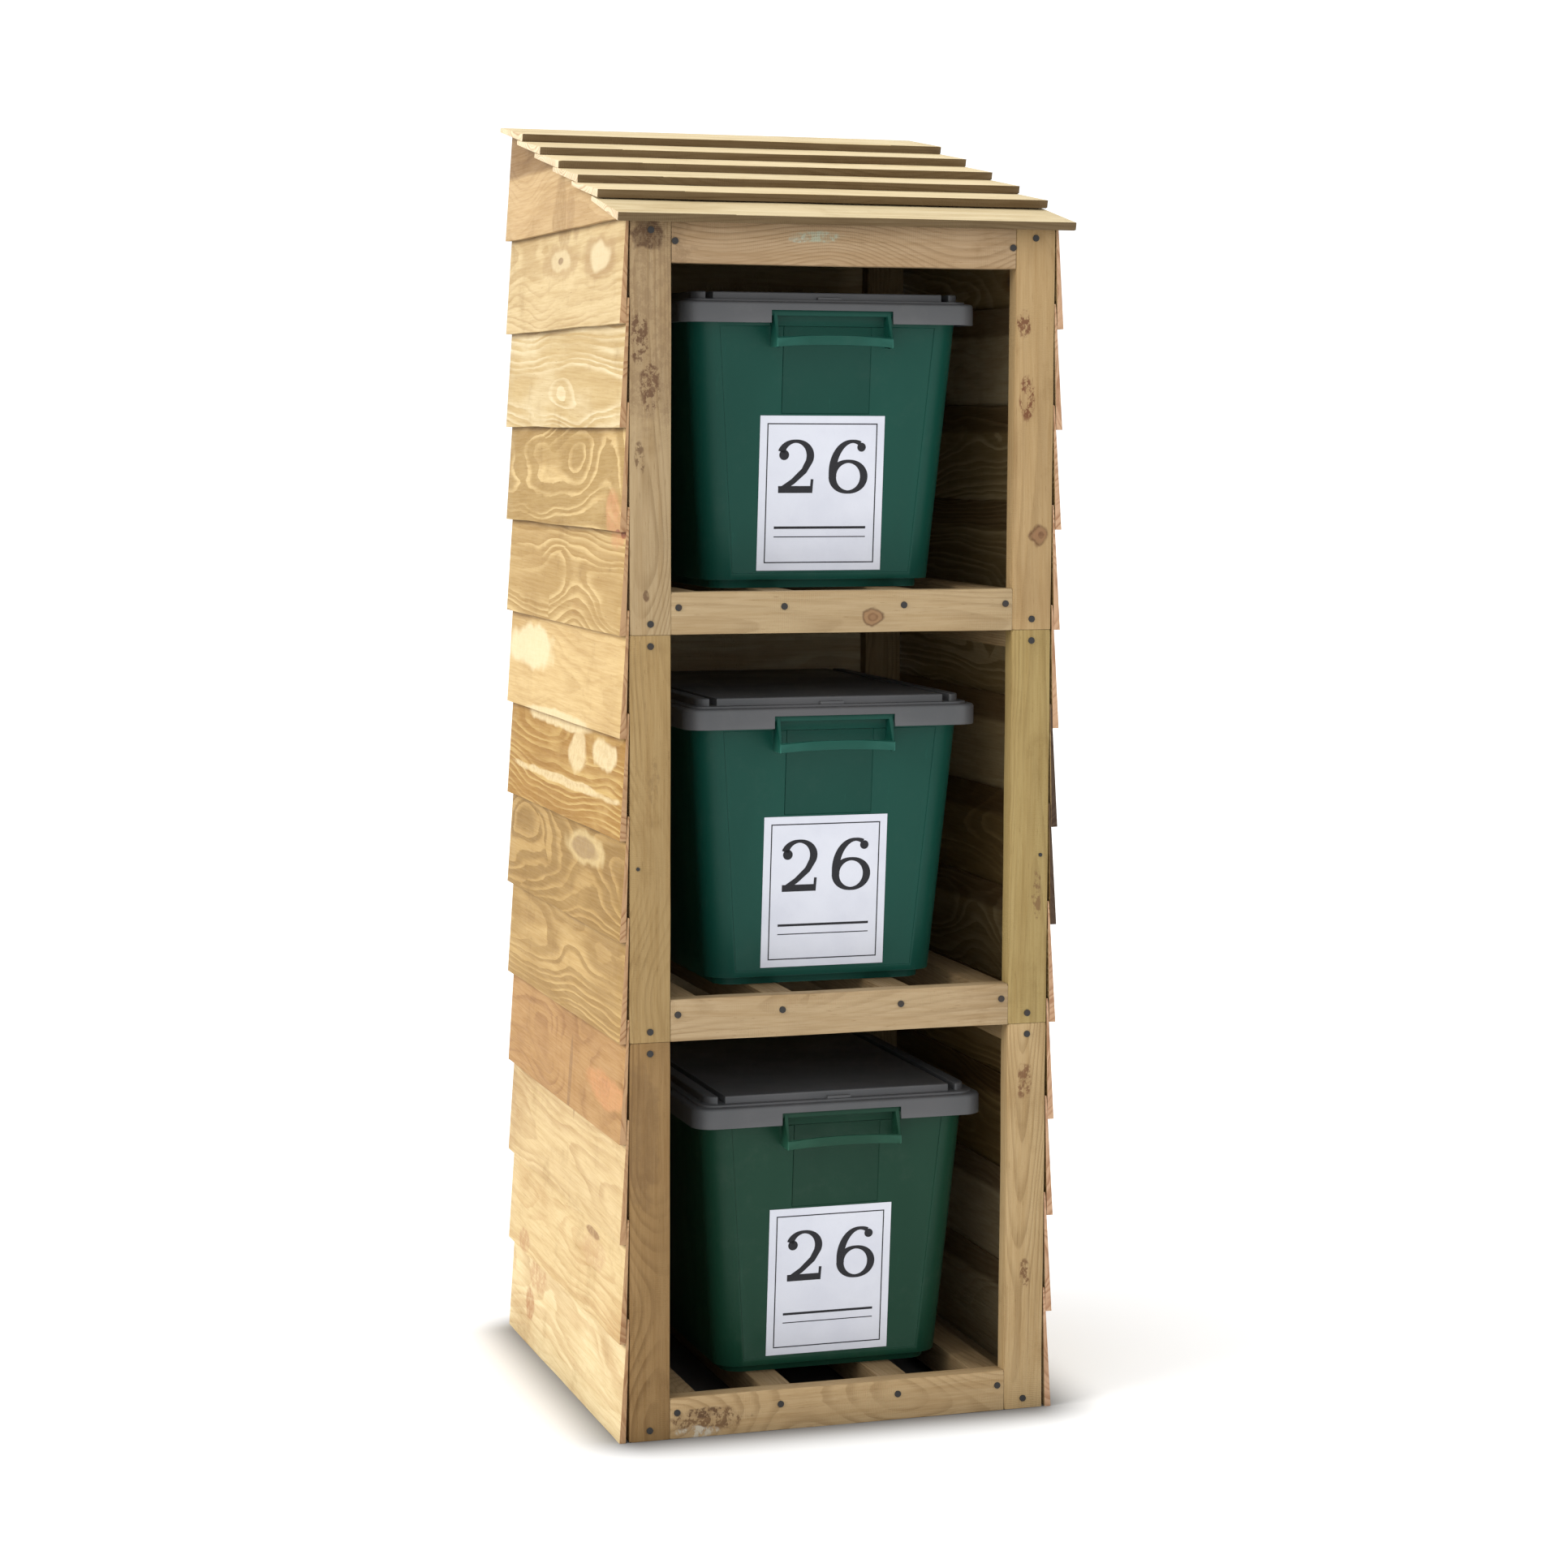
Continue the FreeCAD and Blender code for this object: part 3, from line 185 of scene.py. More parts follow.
def wood_material(name, ring_width, sweep, inner_shade, saw_marks, marks, rag_scale, lap):
    """Sawn pine cut from a log: growth rings about the pith, knots, fibres and stains.

    The meshes carry the place in the log ("log"), the place on the board ("board"), the
    board's two colours ("tone" and "line"), how strongly each shows ("style"), the colour of
    its ends ("ends"), and which faces are end grain ("end") or face inward ("inner"). Dirt and
    painted shade darken each board just under the board above, from "lap" up the board."""
    g = Graph(name)
    log = g.attribute("log")
    board = g.attribute("board")
    place = g.add("ShaderNodeTexCoord").outputs["Object"]
    tone = g.attribute("tone", "Color")
    line = g.attribute("line", "Color")
    style = g.add("ShaderNodeSeparateXYZ", {"Vector": g.attribute("style")})

    # knots: sparse cells on the board that the rings flow round
    cells = g.add("ShaderNodeTexVoronoi", {"Vector": g.vector("MULTIPLY", board, (3.4, 6.5, 1.0)),
                                           "Scale": 1.0, "Randomness": 1.0})
    chance = g.add("ShaderNodeSeparateColor", {"Color": cells.outputs["Color"]}).outputs[0]
    gate = g.math("GREATER_THAN", chance, 0.62)
    far = cells.outputs["Distance"]
    swirl = g.math("MULTIPLY", g.smooth(far, 0.62, 0.0), gate)
    knot = g.math("MULTIPLY", g.smooth(far, 0.085, 0.055), gate)
    knot_rim = g.math("MULTIPLY", g.smooth(far, 0.15, 0.07), gate)

    # distance from the pith, wandering along the log
    wander = g.noise(g.vector("MULTIPLY", log, (2.2, 6.0, 6.0)), 1.0, 2.0)
    ripple = g.noise(g.vector("MULTIPLY", log, (7.0, 30.0, 30.0)), 1.0, 4.0)
    across = g.vector("MULTIPLY", log, (0.0, 1.0, 1.0))
    radius = g.add("ShaderNodeVectorMath", {0: across}, operation="LENGTH").outputs["Value"]
    radius = g.math("MULTIPLY_ADD", wander, sweep, radius)
    radius = g.math("MULTIPLY_ADD", ripple, sweep * 0.13, radius)
    radius = g.math("MULTIPLY_ADD", swirl, 0.030, radius)
    # rings are not evenly spaced
    spacing = g.noise(g.vector("MULTIPLY", radius, (26.0, 26.0, 26.0)), 1.0, 2.0)
    rings = g.math("MULTIPLY_ADD", spacing, 4.5, g.math("DIVIDE", radius, ring_width))
    phase = g.math("FRACT", rings)
    late = g.math("MULTIPLY", g.smooth(phase, 0.40, 0.84), g.smooth(phase, 1.0, 0.90))
    strong = g.noise(g.vector("MULTIPLY", log, (2.5, 26.0, 26.0)), 1.0, 3.0)
    late = g.math("MULTIPLY", late, g.smooth(strong, 0.34, 0.60, 0.25, 1.25))

    fibre = g.noise(g.vector("MULTIPLY", log, (14.0, 420.0, 420.0)), 1.0, 4.0, 0.65)
    streak = g.noise(g.vector("MULTIPLY", log, (5.0, 90.0, 90.0)), 1.0, 3.0, 0.6)
    fleck = g.noise(g.vector("MULTIPLY", log, (60.0, 700.0, 700.0)), 1.0, 2.0)
    cloud = g.noise(g.vector("MULTIPLY", board, (4.5, 11.0, 1.0)), 1.0, 4.0, 0.55)
    grime = g.noise(g.vector("MULTIPLY", place, (16.0, 16.0, 16.0)), 1.0, 5.0, 0.65)

    colour = g.mix(g.math("MULTIPLY", late, style.outputs["X"]), tone, line)
    patch = g.math("MULTIPLY", g.smooth(cloud, 0.50, 0.68), style.outputs["Y"])
    colour = g.mix(patch, colour, line)
    colour = g.mix(g.smooth(streak, 0.40, 0.72, 0.0, 0.55), colour,
                   g.mix(1.0, colour, rgb(0.80, 0.73, 0.62), "MULTIPLY"))
    colour = g.mix(g.smooth(fibre, 0.35, 0.70, 0.0, 0.45), colour,
                   g.mix(1.0, colour, rgb(0.78, 0.73, 0.64), "MULTIPLY"))
    colour = g.mix(g.smooth(fleck, 0.64, 0.78, 0.0, 0.45), colour,
                   g.mix(1.0, colour, rgb(0.45, 0.36, 0.25), "MULTIPLY"))
    colour = g.mix(g.smooth(grime, 0.52, 0.80, 0.0, 0.50), colour,
                   g.mix(1.0, colour, rgb(0.62, 0.54, 0.42), "MULTIPLY"))
    rim_colour = g.mix(1.0, colour, rgb(0.66, 0.46, 0.28), "MULTIPLY")
    colour = g.mix(g.math("MULTIPLY", knot_rim, 0.65), colour, rim_colour)
    colour = g.mix(g.math("MULTIPLY", knot, 0.80), colour, rgb(0.100, 0.050, 0.022))

    # marks with ragged outlines
    rag = g.add("ShaderNodeTexNoise", {"Vector": place, "Scale": rag_scale, "Detail": 2.5})
    ragged = g.vector("SUBTRACT", rag.outputs["Color"], (0.5, 0.5, 0.5))
    crumb = g.noise(g.vector("MULTIPLY", place, (150.0, 110.0, 110.0)), 1.0, 4.0, 0.7)
    for centre, size, mark_colour, strength, broken in marks:
        offset = g.vector("DIVIDE", g.vector("SUBTRACT", place, centre), size)
        offset = g.vector("ADD", offset, g.vector("MULTIPLY", ragged, (1.1, 1.1, 1.1)))
        reach = g.add("ShaderNodeVectorMath", {0: offset}, operation="LENGTH").outputs["Value"]
        mask = g.math("MULTIPLY", g.smooth(reach, 1.10, 0.78), strength)
        mask = g.math("MULTIPLY", mask, g.smooth(crumb, 0.44, 0.56, 1.0 - broken, 1.0))
        colour = g.mix(mask, colour, rgb(*mark_colour))

    # dirt and painted shade: each board is darkened just under the lap of the board above
    spread = g.add("ShaderNodeSeparateXYZ", {"Vector": board}).outputs["Y"]
    spread = g.math("MULTIPLY_ADD", g.math("SUBTRACT", cloud, 0.5), 0.012, spread)
    dirt = g.smooth(spread, lap - 0.0085, lap + 0.0005, 0.0, 0.72)
    colour = g.mix(dirt, colour, g.mix(1.0, colour, rgb(0.34, 0.25, 0.16), "MULTIPLY"))

    ends = g.attribute("ends", "Color")
    end_rings = g.mix(g.math("MULTIPLY", late, 0.7), ends,
                      g.mix(1.0, ends, rgb(0.62, 0.50, 0.42), "MULTIPLY"))
    end_rings = g.mix(g.smooth(grime, 0.45, 0.75, 0.0, 0.5), end_rings,
                      g.mix(1.0, ends, rgb(0.60, 0.50, 0.42), "MULTIPLY"))
    colour = g.mix(g.attribute("end", "Fac"), colour, end_rings)
    # painted shade: faces marked inner (inward wall faces, the fronts and undersides of the roof
    # boards) are multiplied by inner_shade
    shaded = g.mix(1.0, colour, rgb(*inner_shade), "MULTIPLY")
    colour = g.mix(g.attribute("inner", "Fac"), colour, shaded)

    # saw marks run across the board, a millimetre or two apart, deeper in patches
    along = g.add("ShaderNodeSeparateXYZ", {"Vector": board}).outputs["X"]
    drift = g.noise(g.vector("MULTIPLY", board, (30.0, 30.0, 1.0)), 1.0, 2.0)
    saw = g.math("SINE", g.math("MULTIPLY_ADD", drift, 9.0, g.math("MULTIPLY", along, 2600.0)))
    worn = g.noise(g.vector("MULTIPLY", board, (11.0, 20.0, 1.0)), 1.0)
    saw = g.math("MULTIPLY", saw, g.smooth(worn, 0.40, 0.66, 0.0, saw_marks))

    relief = g.math("MULTIPLY_ADD", late, 0.55, g.math("MULTIPLY", fibre, 0.9))
    relief = g.math("ADD", relief, saw)
    relief = g.math("MULTIPLY_ADD", knot_rim, -0.7, relief)
    normal = g.bump(relief, 0.55, 0.0006)
    coarse = g.noise(g.vector("MULTIPLY", log, (9.0, 70.0, 70.0)), 1.0, 3.0)
    normal = g.bump(coarse, 0.40, 0.0018, normal)
    rough = g.smooth(fibre, 0.2, 0.8, 0.62, 0.86)
    rough = g.math("MULTIPLY_ADD", knot, -0.18, rough)
    return g.finish({"Base Color": colour, "Roughness": rough, "Normal": normal,
                     "Specular IOR Level": 0.25})


# ------------------------------------------------------------------ timber meshes

def solids_of(node):
    """Each separate solid of a CAD node, as a clean mesh with flat faces."""
    whole = bmesh.new()
    whole.from_mesh(NODES[node].data)
    bmesh.ops.remove_doubles(whole, verts=whole.verts, dist=0.01 * MM)
    reached = set()
    solids = []
    for seed in whole.faces:
        if seed in reached:
            continue
        reached.add(seed)
        found = [seed]
        # the list grows while it is walked, so faces always come in the same order
        for face in found:
            for edge in face.edges:
                for other in edge.link_faces:
                    if other not in reached:
                        reached.add(other)
                        found.append(other)
        solid = bmesh.new()
        made = {}
        for face in found:
            for vert in face.verts:
                if vert not in made:
                    made[vert] = solid.verts.new(vert.co)
            solid.faces.new([made[vert] for vert in face.verts])
        bmesh.ops.dissolve_limit(solid, angle_limit=math.radians(0.6), verts=solid.verts,
                                 edges=solid.edges)
        bmesh.ops.recalc_face_normals(solid, faces=solid.faces)
        solids.append(solid)
    whole.free()
    centre = {id(s): sum((v.co for v in s.verts), Vector()) / len(s.verts) for s in solids}
    solids.sort(key=lambda s: (round(centre[id(s)].z, 3), round(centre[id(s)].x, 3)))
    return solids


# how a stick's own axes (along, across, through) lie in the store's axes
GRAIN = {"up": (2, 0, 1), "across": (0, 2, 1), "back": (1, 0, 2), "side_board": (1, 2, 0),
         "back_board": (0, 2, 1), "roof_board": (0, 1, 2)}


def weather_solid(solid, grain, rng, softness, waviness):
    """Round the arrises, cut the stick along its length and let its faces wander a little."""
    along, across, through = GRAIN[grain]
    low_corner = [min(v.co[axis] for v in solid.verts) for axis in range(3)]
    high_corner = [max(v.co[axis] for v in solid.verts) for axis in range(3)]
    bmesh.ops.bevel(solid, geom=solid.edges[:], offset=softness, segments=2, profile=0.6,
                    affect="EDGES", clamp_overlap=True)
    # on a feather edge the rounding can run out past the stick's end
    for vert in solid.verts:
        for axis in range(3):
            vert.co[axis] = min(max(vert.co[axis], low_corner[axis]), high_corner[axis])
    low = min(v.co[along] for v in solid.verts)
    high = max(v.co[along] for v in solid.verts)
    count = max(3, int((high - low) / 0.035))
    normal = Vector((0, 0, 0))
    normal[along] = 1
    for index in range(1, count):
        place = Vector((0, 0, 0))
        place[along] = low + (high - low) * index / count
        bmesh.ops.bisect_plane(solid, geom=solid.verts[:] + solid.edges[:] + solid.faces[:],
                               plane_co=place, plane_no=normal)
    shift = Vector([rng.uniform(-50, 50) for _ in range(3)])
    for vert in solid.verts:
        spot = Vector(vert.co) * 9.0 + shift
        vert.co[across] += waviness * noise.noise(spot)
        vert.co[through] += 0.5 * waviness * noise.noise(spot + Vector((7.3, 1.1, 4.7)))


def add_stick(mesh, layers, solid, grain, look, rng, number, inward):
    """Join a weathered stick to a mesh, with its place in the log and its look."""
    along, across, through = GRAIN[grain]
    middle = sum((v.co for v in solid.verts), Vector()) / len(solid.verts)
    pith = Vector((rng.uniform(-3, 3), rng.uniform(-0.045, 0.045),
                   rng.choice((-1, 1)) * rng.uniform(0.035, 0.10)))
    tilt = (Matrix.Rotation(math.radians(rng.uniform(-2.6, 2.6)), 3, "Y")
            @ Matrix.Rotation(math.radians(rng.uniform(-2.0, 2.0)), 3, "Z"))
    made = {}
    for vert in solid.verts:
        copy = mesh.verts.new(vert.co)
        made[vert] = copy
        place = vert.co - middle
        local = Vector((place[along], place[across], place[through]))
        copy[layers["log"]] = tilt @ local + pith
        copy[layers["board"]] = Vector((local.x + pith.x, local.y, number * 3.7 + local.z))
        copy[layers["tone"]] = (*look[0], 1.0)
        copy[layers["line"]] = (*look[1], 1.0)
        copy[layers["style"]] = (look[2], look[3], 0.0)
        copy[layers["ends"]] = (*look[4], 1.0)
    for face in solid.faces:
        copy = mesh.faces.new([made[vert] for vert in face.verts])
        copy.smooth = True
        copy[layers["end"]] = 1.0 if abs(face.normal[along]) > 0.8 else 0.0
        copy[layers["inner"]] = 1.0 if face.normal.dot(inward) > 0.5 else 0.0
    solid.free()


def finish_mesh(name, mesh, material, node, replaced, sharp=32.0):
    """Turn a bmesh into a piece that rides with a node's body."""
    bmesh.ops.recalc_face_normals(mesh, faces=mesh.faces)
    data = bpy.data.meshes.new(name)
    mesh.to_mesh(data)
    mesh.free()
    data.materials.append(material)
    data.set_sharp_from_angle(angle=math.radians(sharp))
    piece = bpy.data.objects.new(name, data)
    bpy.context.scene.collection.objects.link(piece)
    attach(piece, BODY_OF[node])
    if replaced:
        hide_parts(node)
    return piece


def timber_piece(node, grain, material, looks, seed, softness=1.1 * MM, waviness=0.8 * MM,
                 inward=(0, 0, 0)):
    """Stand-in for a timber node: all its sticks, weathered, in one mesh."""
    rng = random.Random(seed)
    mesh = bmesh.new()
    layers = {"log": mesh.verts.layers.float_vector.new("log"),
              "board": mesh.verts.layers.float_vector.new("board"),
              "tone": mesh.verts.layers.float_color.new("tone"),
              "line": mesh.verts.layers.float_color.new("line"),
              "ends": mesh.verts.layers.float_color.new("ends"),
              "style": mesh.verts.layers.float_vector.new("style"),
              "end": mesh.faces.layers.float.new("end"),
              "inner": mesh.faces.layers.float.new("inner")}
    for index, solid in enumerate(solids_of(node)):
        weather_solid(solid, grain, rng, softness, waviness)
        add_stick(mesh, layers, solid, grain, looks[index % len(looks)], rng, seed + index,
                  Vector(inward))
    piece = finish_mesh(f"{node}_timber", mesh, material, node, True)
    return piece


# looks of a stick: its colour, the colour of its lines and patches, how strongly the lines
# and the patches show, and the colour of its sawn ends
SALMON = (0.375, 0.228, 0.118)
PINK = (0.455, 0.283, 0.170)
UMBER = (0.060, 0.036, 0.020)
LEFT_LOOKS = {
    "bottom": (((0.565, 0.460, 0.268), (0.405, 0.268, 0.126), 0.40, 0.45, SALMON),
               ((0.510, 0.390, 0.205), (0.370, 0.230, 0.095), 0.40, 0.50, SALMON),
               ((0.490, 0.370, 0.195), (0.320, 0.200, 0.085), 0.40, 0.50, SALMON),
               ((0.335, 0.195, 0.076), (0.220, 0.108, 0.038), 0.45, 0.50, SALMON)),
    "middle": (((0.275, 0.172, 0.058), (0.400, 0.270, 0.108), 0.85, 0.25, SALMON),
               ((0.236, 0.142, 0.041), (0.361, 0.236, 0.086), 0.75, 0.30, SALMON),
               ((0.273, 0.147, 0.032), (0.451, 0.313, 0.115), 0.65, 0.70, SALMON),
               ((0.480, 0.345, 0.160), (0.340, 0.215, 0.080), 0.30, 0.45, SALMON)),
    "top": (((0.320, 0.208, 0.076), (0.475, 0.345, 0.160), 0.90, 0.30, SALMON),
            ((0.300, 0.197, 0.070), (0.475, 0.345, 0.160), 1.00, 0.25, SALMON),
            ((0.410, 0.300, 0.140), (0.540, 0.450, 0.280), 0.85, 0.55, SALMON),
            ((0.480, 0.370, 0.200), (0.330, 0.220, 0.095), 0.45, 0.45, SALMON)),
}
GABLE = ((0.430, 0.300, 0.152), (0.310, 0.195, 0.085), 0.35, 0.35, SALMON)
RIGHT_ENDS = {"bottom": (PINK,) * 4, "middle": (PINK, UMBER, UMBER, PINK), "top": (PINK,) * 4}


def stick_look(red, green, blue, lines=0.45, patches=0.30):
    """A planed stick: one colour, with darker lines of the same wood."""
    dark = (red * 0.70, green * 0.64, blue * 0.56)
    return ((red * 1.08, green * 1.08, blue * 1.08), dark, lines, patches,
            (red * 0.8, green * 0.8, blue * 0.8))


POST_LOOKS = {"bottom_front_left": stick_look(0.220, 0.134, 0.054, 0.55),
              "middle_front_left": stick_look(0.285, 0.193, 0.083, 0.40),
              "top_front_left": stick_look(0.328, 0.239, 0.132),
              "bottom_front_right": stick_look(0.351, 0.248, 0.125),
              "middle_front_right": stick_look(0.288, 0.210, 0.083, 0.35),
              "top_front_right": stick_look(0.340, 0.232, 0.112)}
RAIL_LOOKS = {"bottom": stick_look(0.352, 0.248, 0.130),
              "middle": stick_look(0.336, 0.245, 0.140),
              "top": stick_look(0.340, 0.250, 0.140)}
ROOF_REDS = (0.60, 0.67, 0.65, 0.68, 0.67, 0.65)
PLAIN_STICK = stick_look(0.230, 0.160, 0.080)
# the slats get a darker tone than the plain sticks: painted shade for the inside of the bays
SLAT_IN_SHADE = stick_look(0.215, 0.150, 0.078)


def build_timber():
    """Every timber node gets its weathered stand-in."""
    frame_wood = wood_material("frame_wood", 0.0030, 0.022, (1.0, 1.0, 1.0), 0.30, FRAME_MARKS,
                               60.0, 9.0)
    clad_wood = wood_material("clad_wood", 0.0075, 0.075, (0.75, 0.75, 0.80), 0.30, WALL_MARKS,
                              17.0, 0.0455)
    roof_wood = wood_material("roof_wood", 0.0045, 0.030, (0.21, 0.17, 0.13), 0.45, (), 30.0, 9.0)
    palette = [look for looks in LEFT_LOOKS.values() for look in looks]
    seed = 100
    thin = (0.7 * MM, 1.2 * MM)
    for level in LEVELS:
        for place in ("front_left", "front_right", "back_left", "back_right"):
            seed += 10
            look = POST_LOOKS.get(f"{level}_{place}", PLAIN_STICK)
            timber_piece(f"{level}_{place}_post", "up", frame_wood, [look], seed)
        for end in ("front", "back"):
            seed += 10
            timber_piece(f"{level}_{end}_rail", "across", frame_wood, [RAIL_LOOKS[level]], seed)
        seed += 10
        timber_piece(f"{level}_slats", "back", frame_wood, [SLAT_IN_SHADE], seed)
        seed += 10
        timber_piece(f"{level}_left_cladding", "side_board", clad_wood, LEFT_LOOKS[level], seed,
                     *thin, (1, 0, 0))
        for wall, grain, inward in (("right", "side_board", (-1, 0, 0)),
                                    ("back", "back_board", (0, -1, 0))):
            seed += 10
            rng = random.Random(seed)
            looks = [(*rng.choice(palette)[:4], ends) for ends in RIGHT_ENDS[level]]
            timber_piece(f"{level}_{wall}_cladding", grain, clad_wood, looks, seed, *thin, inward)
    for end in ("front", "back"):
        seed += 10
        timber_piece(f"{end}_header", "across", frame_wood, [stick_look(0.336, 0.235, 0.136)],
                     seed)
    for side, inward in (("left", (1, 0, 0)), ("right", (-1, 0, 0))):
        seed += 10
        timber_piece(f"{side}_side_battens", "back", frame_wood, [PLAIN_STICK], seed)
        timber_piece(f"{side}_rafter", "back", frame_wood, [PLAIN_STICK], seed + 5)
        timber_piece(f"{side}_top_board", "side_board", clad_wood, [GABLE], seed + 7, *thin, inward)
    timber_piece("back_top_board", "back_board", clad_wood, [GABLE], seed + 9, *thin, (0, -1, 0))
    for index, red in enumerate(ROOF_REDS):
        look = ((red, red * 0.83, red * 0.51), (red * 0.72, red * 0.55, red * 0.28), 0.45, 0.45,
                (0.58, 0.48, 0.32))
        timber_piece(f"roof_board_{index + 1}", "roof_board", roof_wood, [look], 900 + 10 * index,
                     0.9 * MM, 0.8 * MM, (0, -0.6, -0.8))


# ------------------------------------------------------------------ plastic and steel

def plastic_material(name, base, scuff_and_highlight, rough_low, rough_high, grain, dust, shine):
    """Moulded polyethylene: fine grain, faint flow marks, scuffs and dust, with a painted highlight
    on crisp edges and painted shade in creases.
    """
    g = Graph(name)
    place = g.add("ShaderNodeTexCoord").outputs["Object"]
    flow = g.noise(g.vector("MULTIPLY", place, (9.0, 9.0, 3.0)), 1.0, 3.0)
    scratch = g.noise(g.vector("MULTIPLY", place, (160.0, 160.0, 14.0)), 1.0, 4.0, 0.7)
    speck = g.noise(place, 700.0, 2.0)
    settle = g.noise(place, 24.0, 5.0, 0.7)
    colour = g.mix(g.smooth(flow, 0.3, 0.7), base, g.mix(1.0, base, rgb(0.86, 0.90, 0.90),
                                                        "MULTIPLY"))
    colour = g.mix(g.smooth(scratch, 0.64, 0.82, 0.0, 0.18), colour, scuff_and_highlight)
    colour = g.mix(g.smooth(settle, 0.50, 0.82, 0.0, dust), colour, rgb(0.30, 0.29, 0.26))
    bend = g.add("ShaderNodeNewGeometry").outputs["Pointiness"]
    # scuffing and painted highlight: crisp outer edges are lightened towards the scuff colour
    colour = g.mix(g.smooth(bend, 0.52, 0.60, 0.0, 0.7), colour, scuff_and_highlight)
    # painted shade: creases and hollows are darkened
    colour = g.mix(g.smooth(bend, 0.47, 0.42, 0.0, 0.25), colour,
                   g.mix(1.0, colour, rgb(0.45, 0.45, 0.45), "MULTIPLY"))
    rough = g.smooth(flow, 0.25, 0.75, rough_low, rough_high)
    rough = g.math("MULTIPLY_ADD", g.smooth(scratch, 0.55, 0.8), 0.12, rough)
    normal = g.bump(speck, grain, 0.0002)
    normal = g.bump(g.noise(place, 11.0, 2.0), 0.25, 0.0025, normal)
    return g.finish({"Base Color": colour, "Roughness": rough, "Normal": normal,
                     "Specular IOR Level": shine})


def card_material():
    """Bright coated card with faint fibres and a little handling dirt."""
    g = Graph("label_card")
    place = g.add("ShaderNodeTexCoord").outputs["Object"]
    fibre = g.noise(g.vector("MULTIPLY", place, (500.0, 500.0, 900.0)), 1.0, 4.0, 0.6)
    cloud = g.noise(place, 16.0, 4.0, 0.6)
    colour = g.mix(g.smooth(cloud, 0.35, 0.75), rgb(0.60, 0.615, 0.68), rgb(0.555, 0.57, 0.64))
    colour = g.mix(g.smooth(fibre, 0.55, 0.8, 0.0, 0.3), colour, rgb(0.47, 0.485, 0.53))
    rough = g.smooth(cloud, 0.3, 0.8, 0.38, 0.55)
    return g.finish({"Base Color": colour, "Roughness": rough,
                     "Normal": g.bump(fibre, 0.3, 0.0001), "Specular IOR Level": 0.4})


def ink_material():
    """Printed black with slight mottling."""
    g = Graph("label_ink")
    place = g.add("ShaderNodeTexCoord").outputs["Object"]
    mottle = g.noise(place, 900.0, 3.0)
    colour = g.mix(mottle, rgb(0.012, 0.012, 0.014), rgb(0.035, 0.035, 0.04))
    return g.finish({"Base Color": colour, "Roughness": g.smooth(mottle, 0.2, 0.8, 0.35, 0.6),
                     "Normal": g.bump(mottle, 0.2, 0.0001), "Specular IOR Level": 0.12})


def steel_material():
    """Dull wire nail heads with a little rust."""
    g = Graph("nail_steel")
    place = g.add("ShaderNodeTexCoord").outputs["Object"]
    spot = g.noise(place, 420.0, 4.0, 0.7)
    rust = g.noise(place, 90.0, 3.0)
    colour = g.mix(spot, rgb(0.012, 0.011, 0.010), rgb(0.038, 0.036, 0.035))
    colour = g.mix(g.smooth(rust, 0.50, 0.75, 0.0, 0.6), colour, rgb(0.045, 0.025, 0.014))
    return g.finish({"Base Color": colour, "Metallic": 0.1, "Specular IOR Level": 0.3,
                     "Roughness": g.smooth(spot, 0.2, 0.8, 0.35, 0.7),
                     "Normal": g.bump(spot, 0.5, 0.0003)})


def moulded_piece(node, material, softness):
    """Stand-in for a moulded node, with every crisp edge rounded over."""
    mesh = solids_of(node)[0]
    mesh.normal_update()
    crisp = [edge for edge in mesh.edges
             if len(edge.link_faces) == 2 and edge.calc_face_angle() > math.radians(35)]
    bmesh.ops.bevel(mesh, geom=crisp, offset=softness, segments=2, profile=0.5,
                    affect="EDGES", clamp_overlap=False)
    for face in mesh.faces:
        face.smooth = True
    piece = finish_mesh(f"{node}_moulded", mesh, material, node, True, 40.0)
    return piece


PROUD = 0.12 * MM


class Sheet:
    """Flat print on a label: shapes drawn in the card's own plane, a hair proud of it."""

    def __init__(self, node):
        verts = [Vector(v.co) for v in NODES[node].data.vertices]
        low = min(v.z for v in verts)
        high = max(v.z for v in verts)
        foot = [v for v in verts if v.z < low + 1 * MM]
        head = [v for v in verts if v.z > high - 1 * MM]
        self.left = min(v.x for v in verts)
        self.right = max(v.x for v in verts)
        foot_front = min(foot, key=lambda v: v.y)
        head_front = min(head, key=lambda v: v.y)
        self.up = Vector((0, head_front.y - foot_front.y, head_front.z - foot_front.z))
        self.height = self.up.length
        self.up.normalize()
        self.side = Vector((1, 0, 0))
        self.out = self.side.cross(self.up)
        self.corner = Vector((self.left, foot_front.y, foot_front.z))
        self.mesh = bmesh.new()

    def place(self, across, up, proud=PROUD):
        return self.corner + self.side * across + self.up * up + self.out * proud

    def strip(self, path, width_of, proud=PROUD):
        """A stroke along a path, as wide as width_of says for each direction."""
        rows = []
        for index, spot in enumerate(path):
            before = path[max(index - 1, 0)]
            after = path[min(index + 1, len(path) - 1)]
            run = Vector((after[0] - before[0], after[1] - before[1])).normalized()
            half = 0.5 * width_of(run)
            rows.append([self.mesh.verts.new(self.place(spot[0] - side * run.y * half,
                                                        spot[1] + side * run.x * half, proud))
                         for side in (1, -1)])
        for near, far in zip(rows, rows[1:]):
            self.mesh.faces.new((near[0], near[1], far[1], far[0]))

    def box(self, low, high, proud=PROUD):
        corners = ((low[0], low[1]), (high[0], low[1]), (high[0], high[1]), (low[0], high[1]))
        self.mesh.faces.new([self.mesh.verts.new(self.place(*spot, proud)) for spot in corners])

    def disc(self, centre, radius, proud=PROUD):
        steps = [math.tau * index / 24 for index in range(24)]
        self.mesh.faces.new([self.mesh.verts.new(
            self.place(centre[0] + radius * math.cos(a), centre[1] + radius * math.sin(a), proud))
            for a in steps])


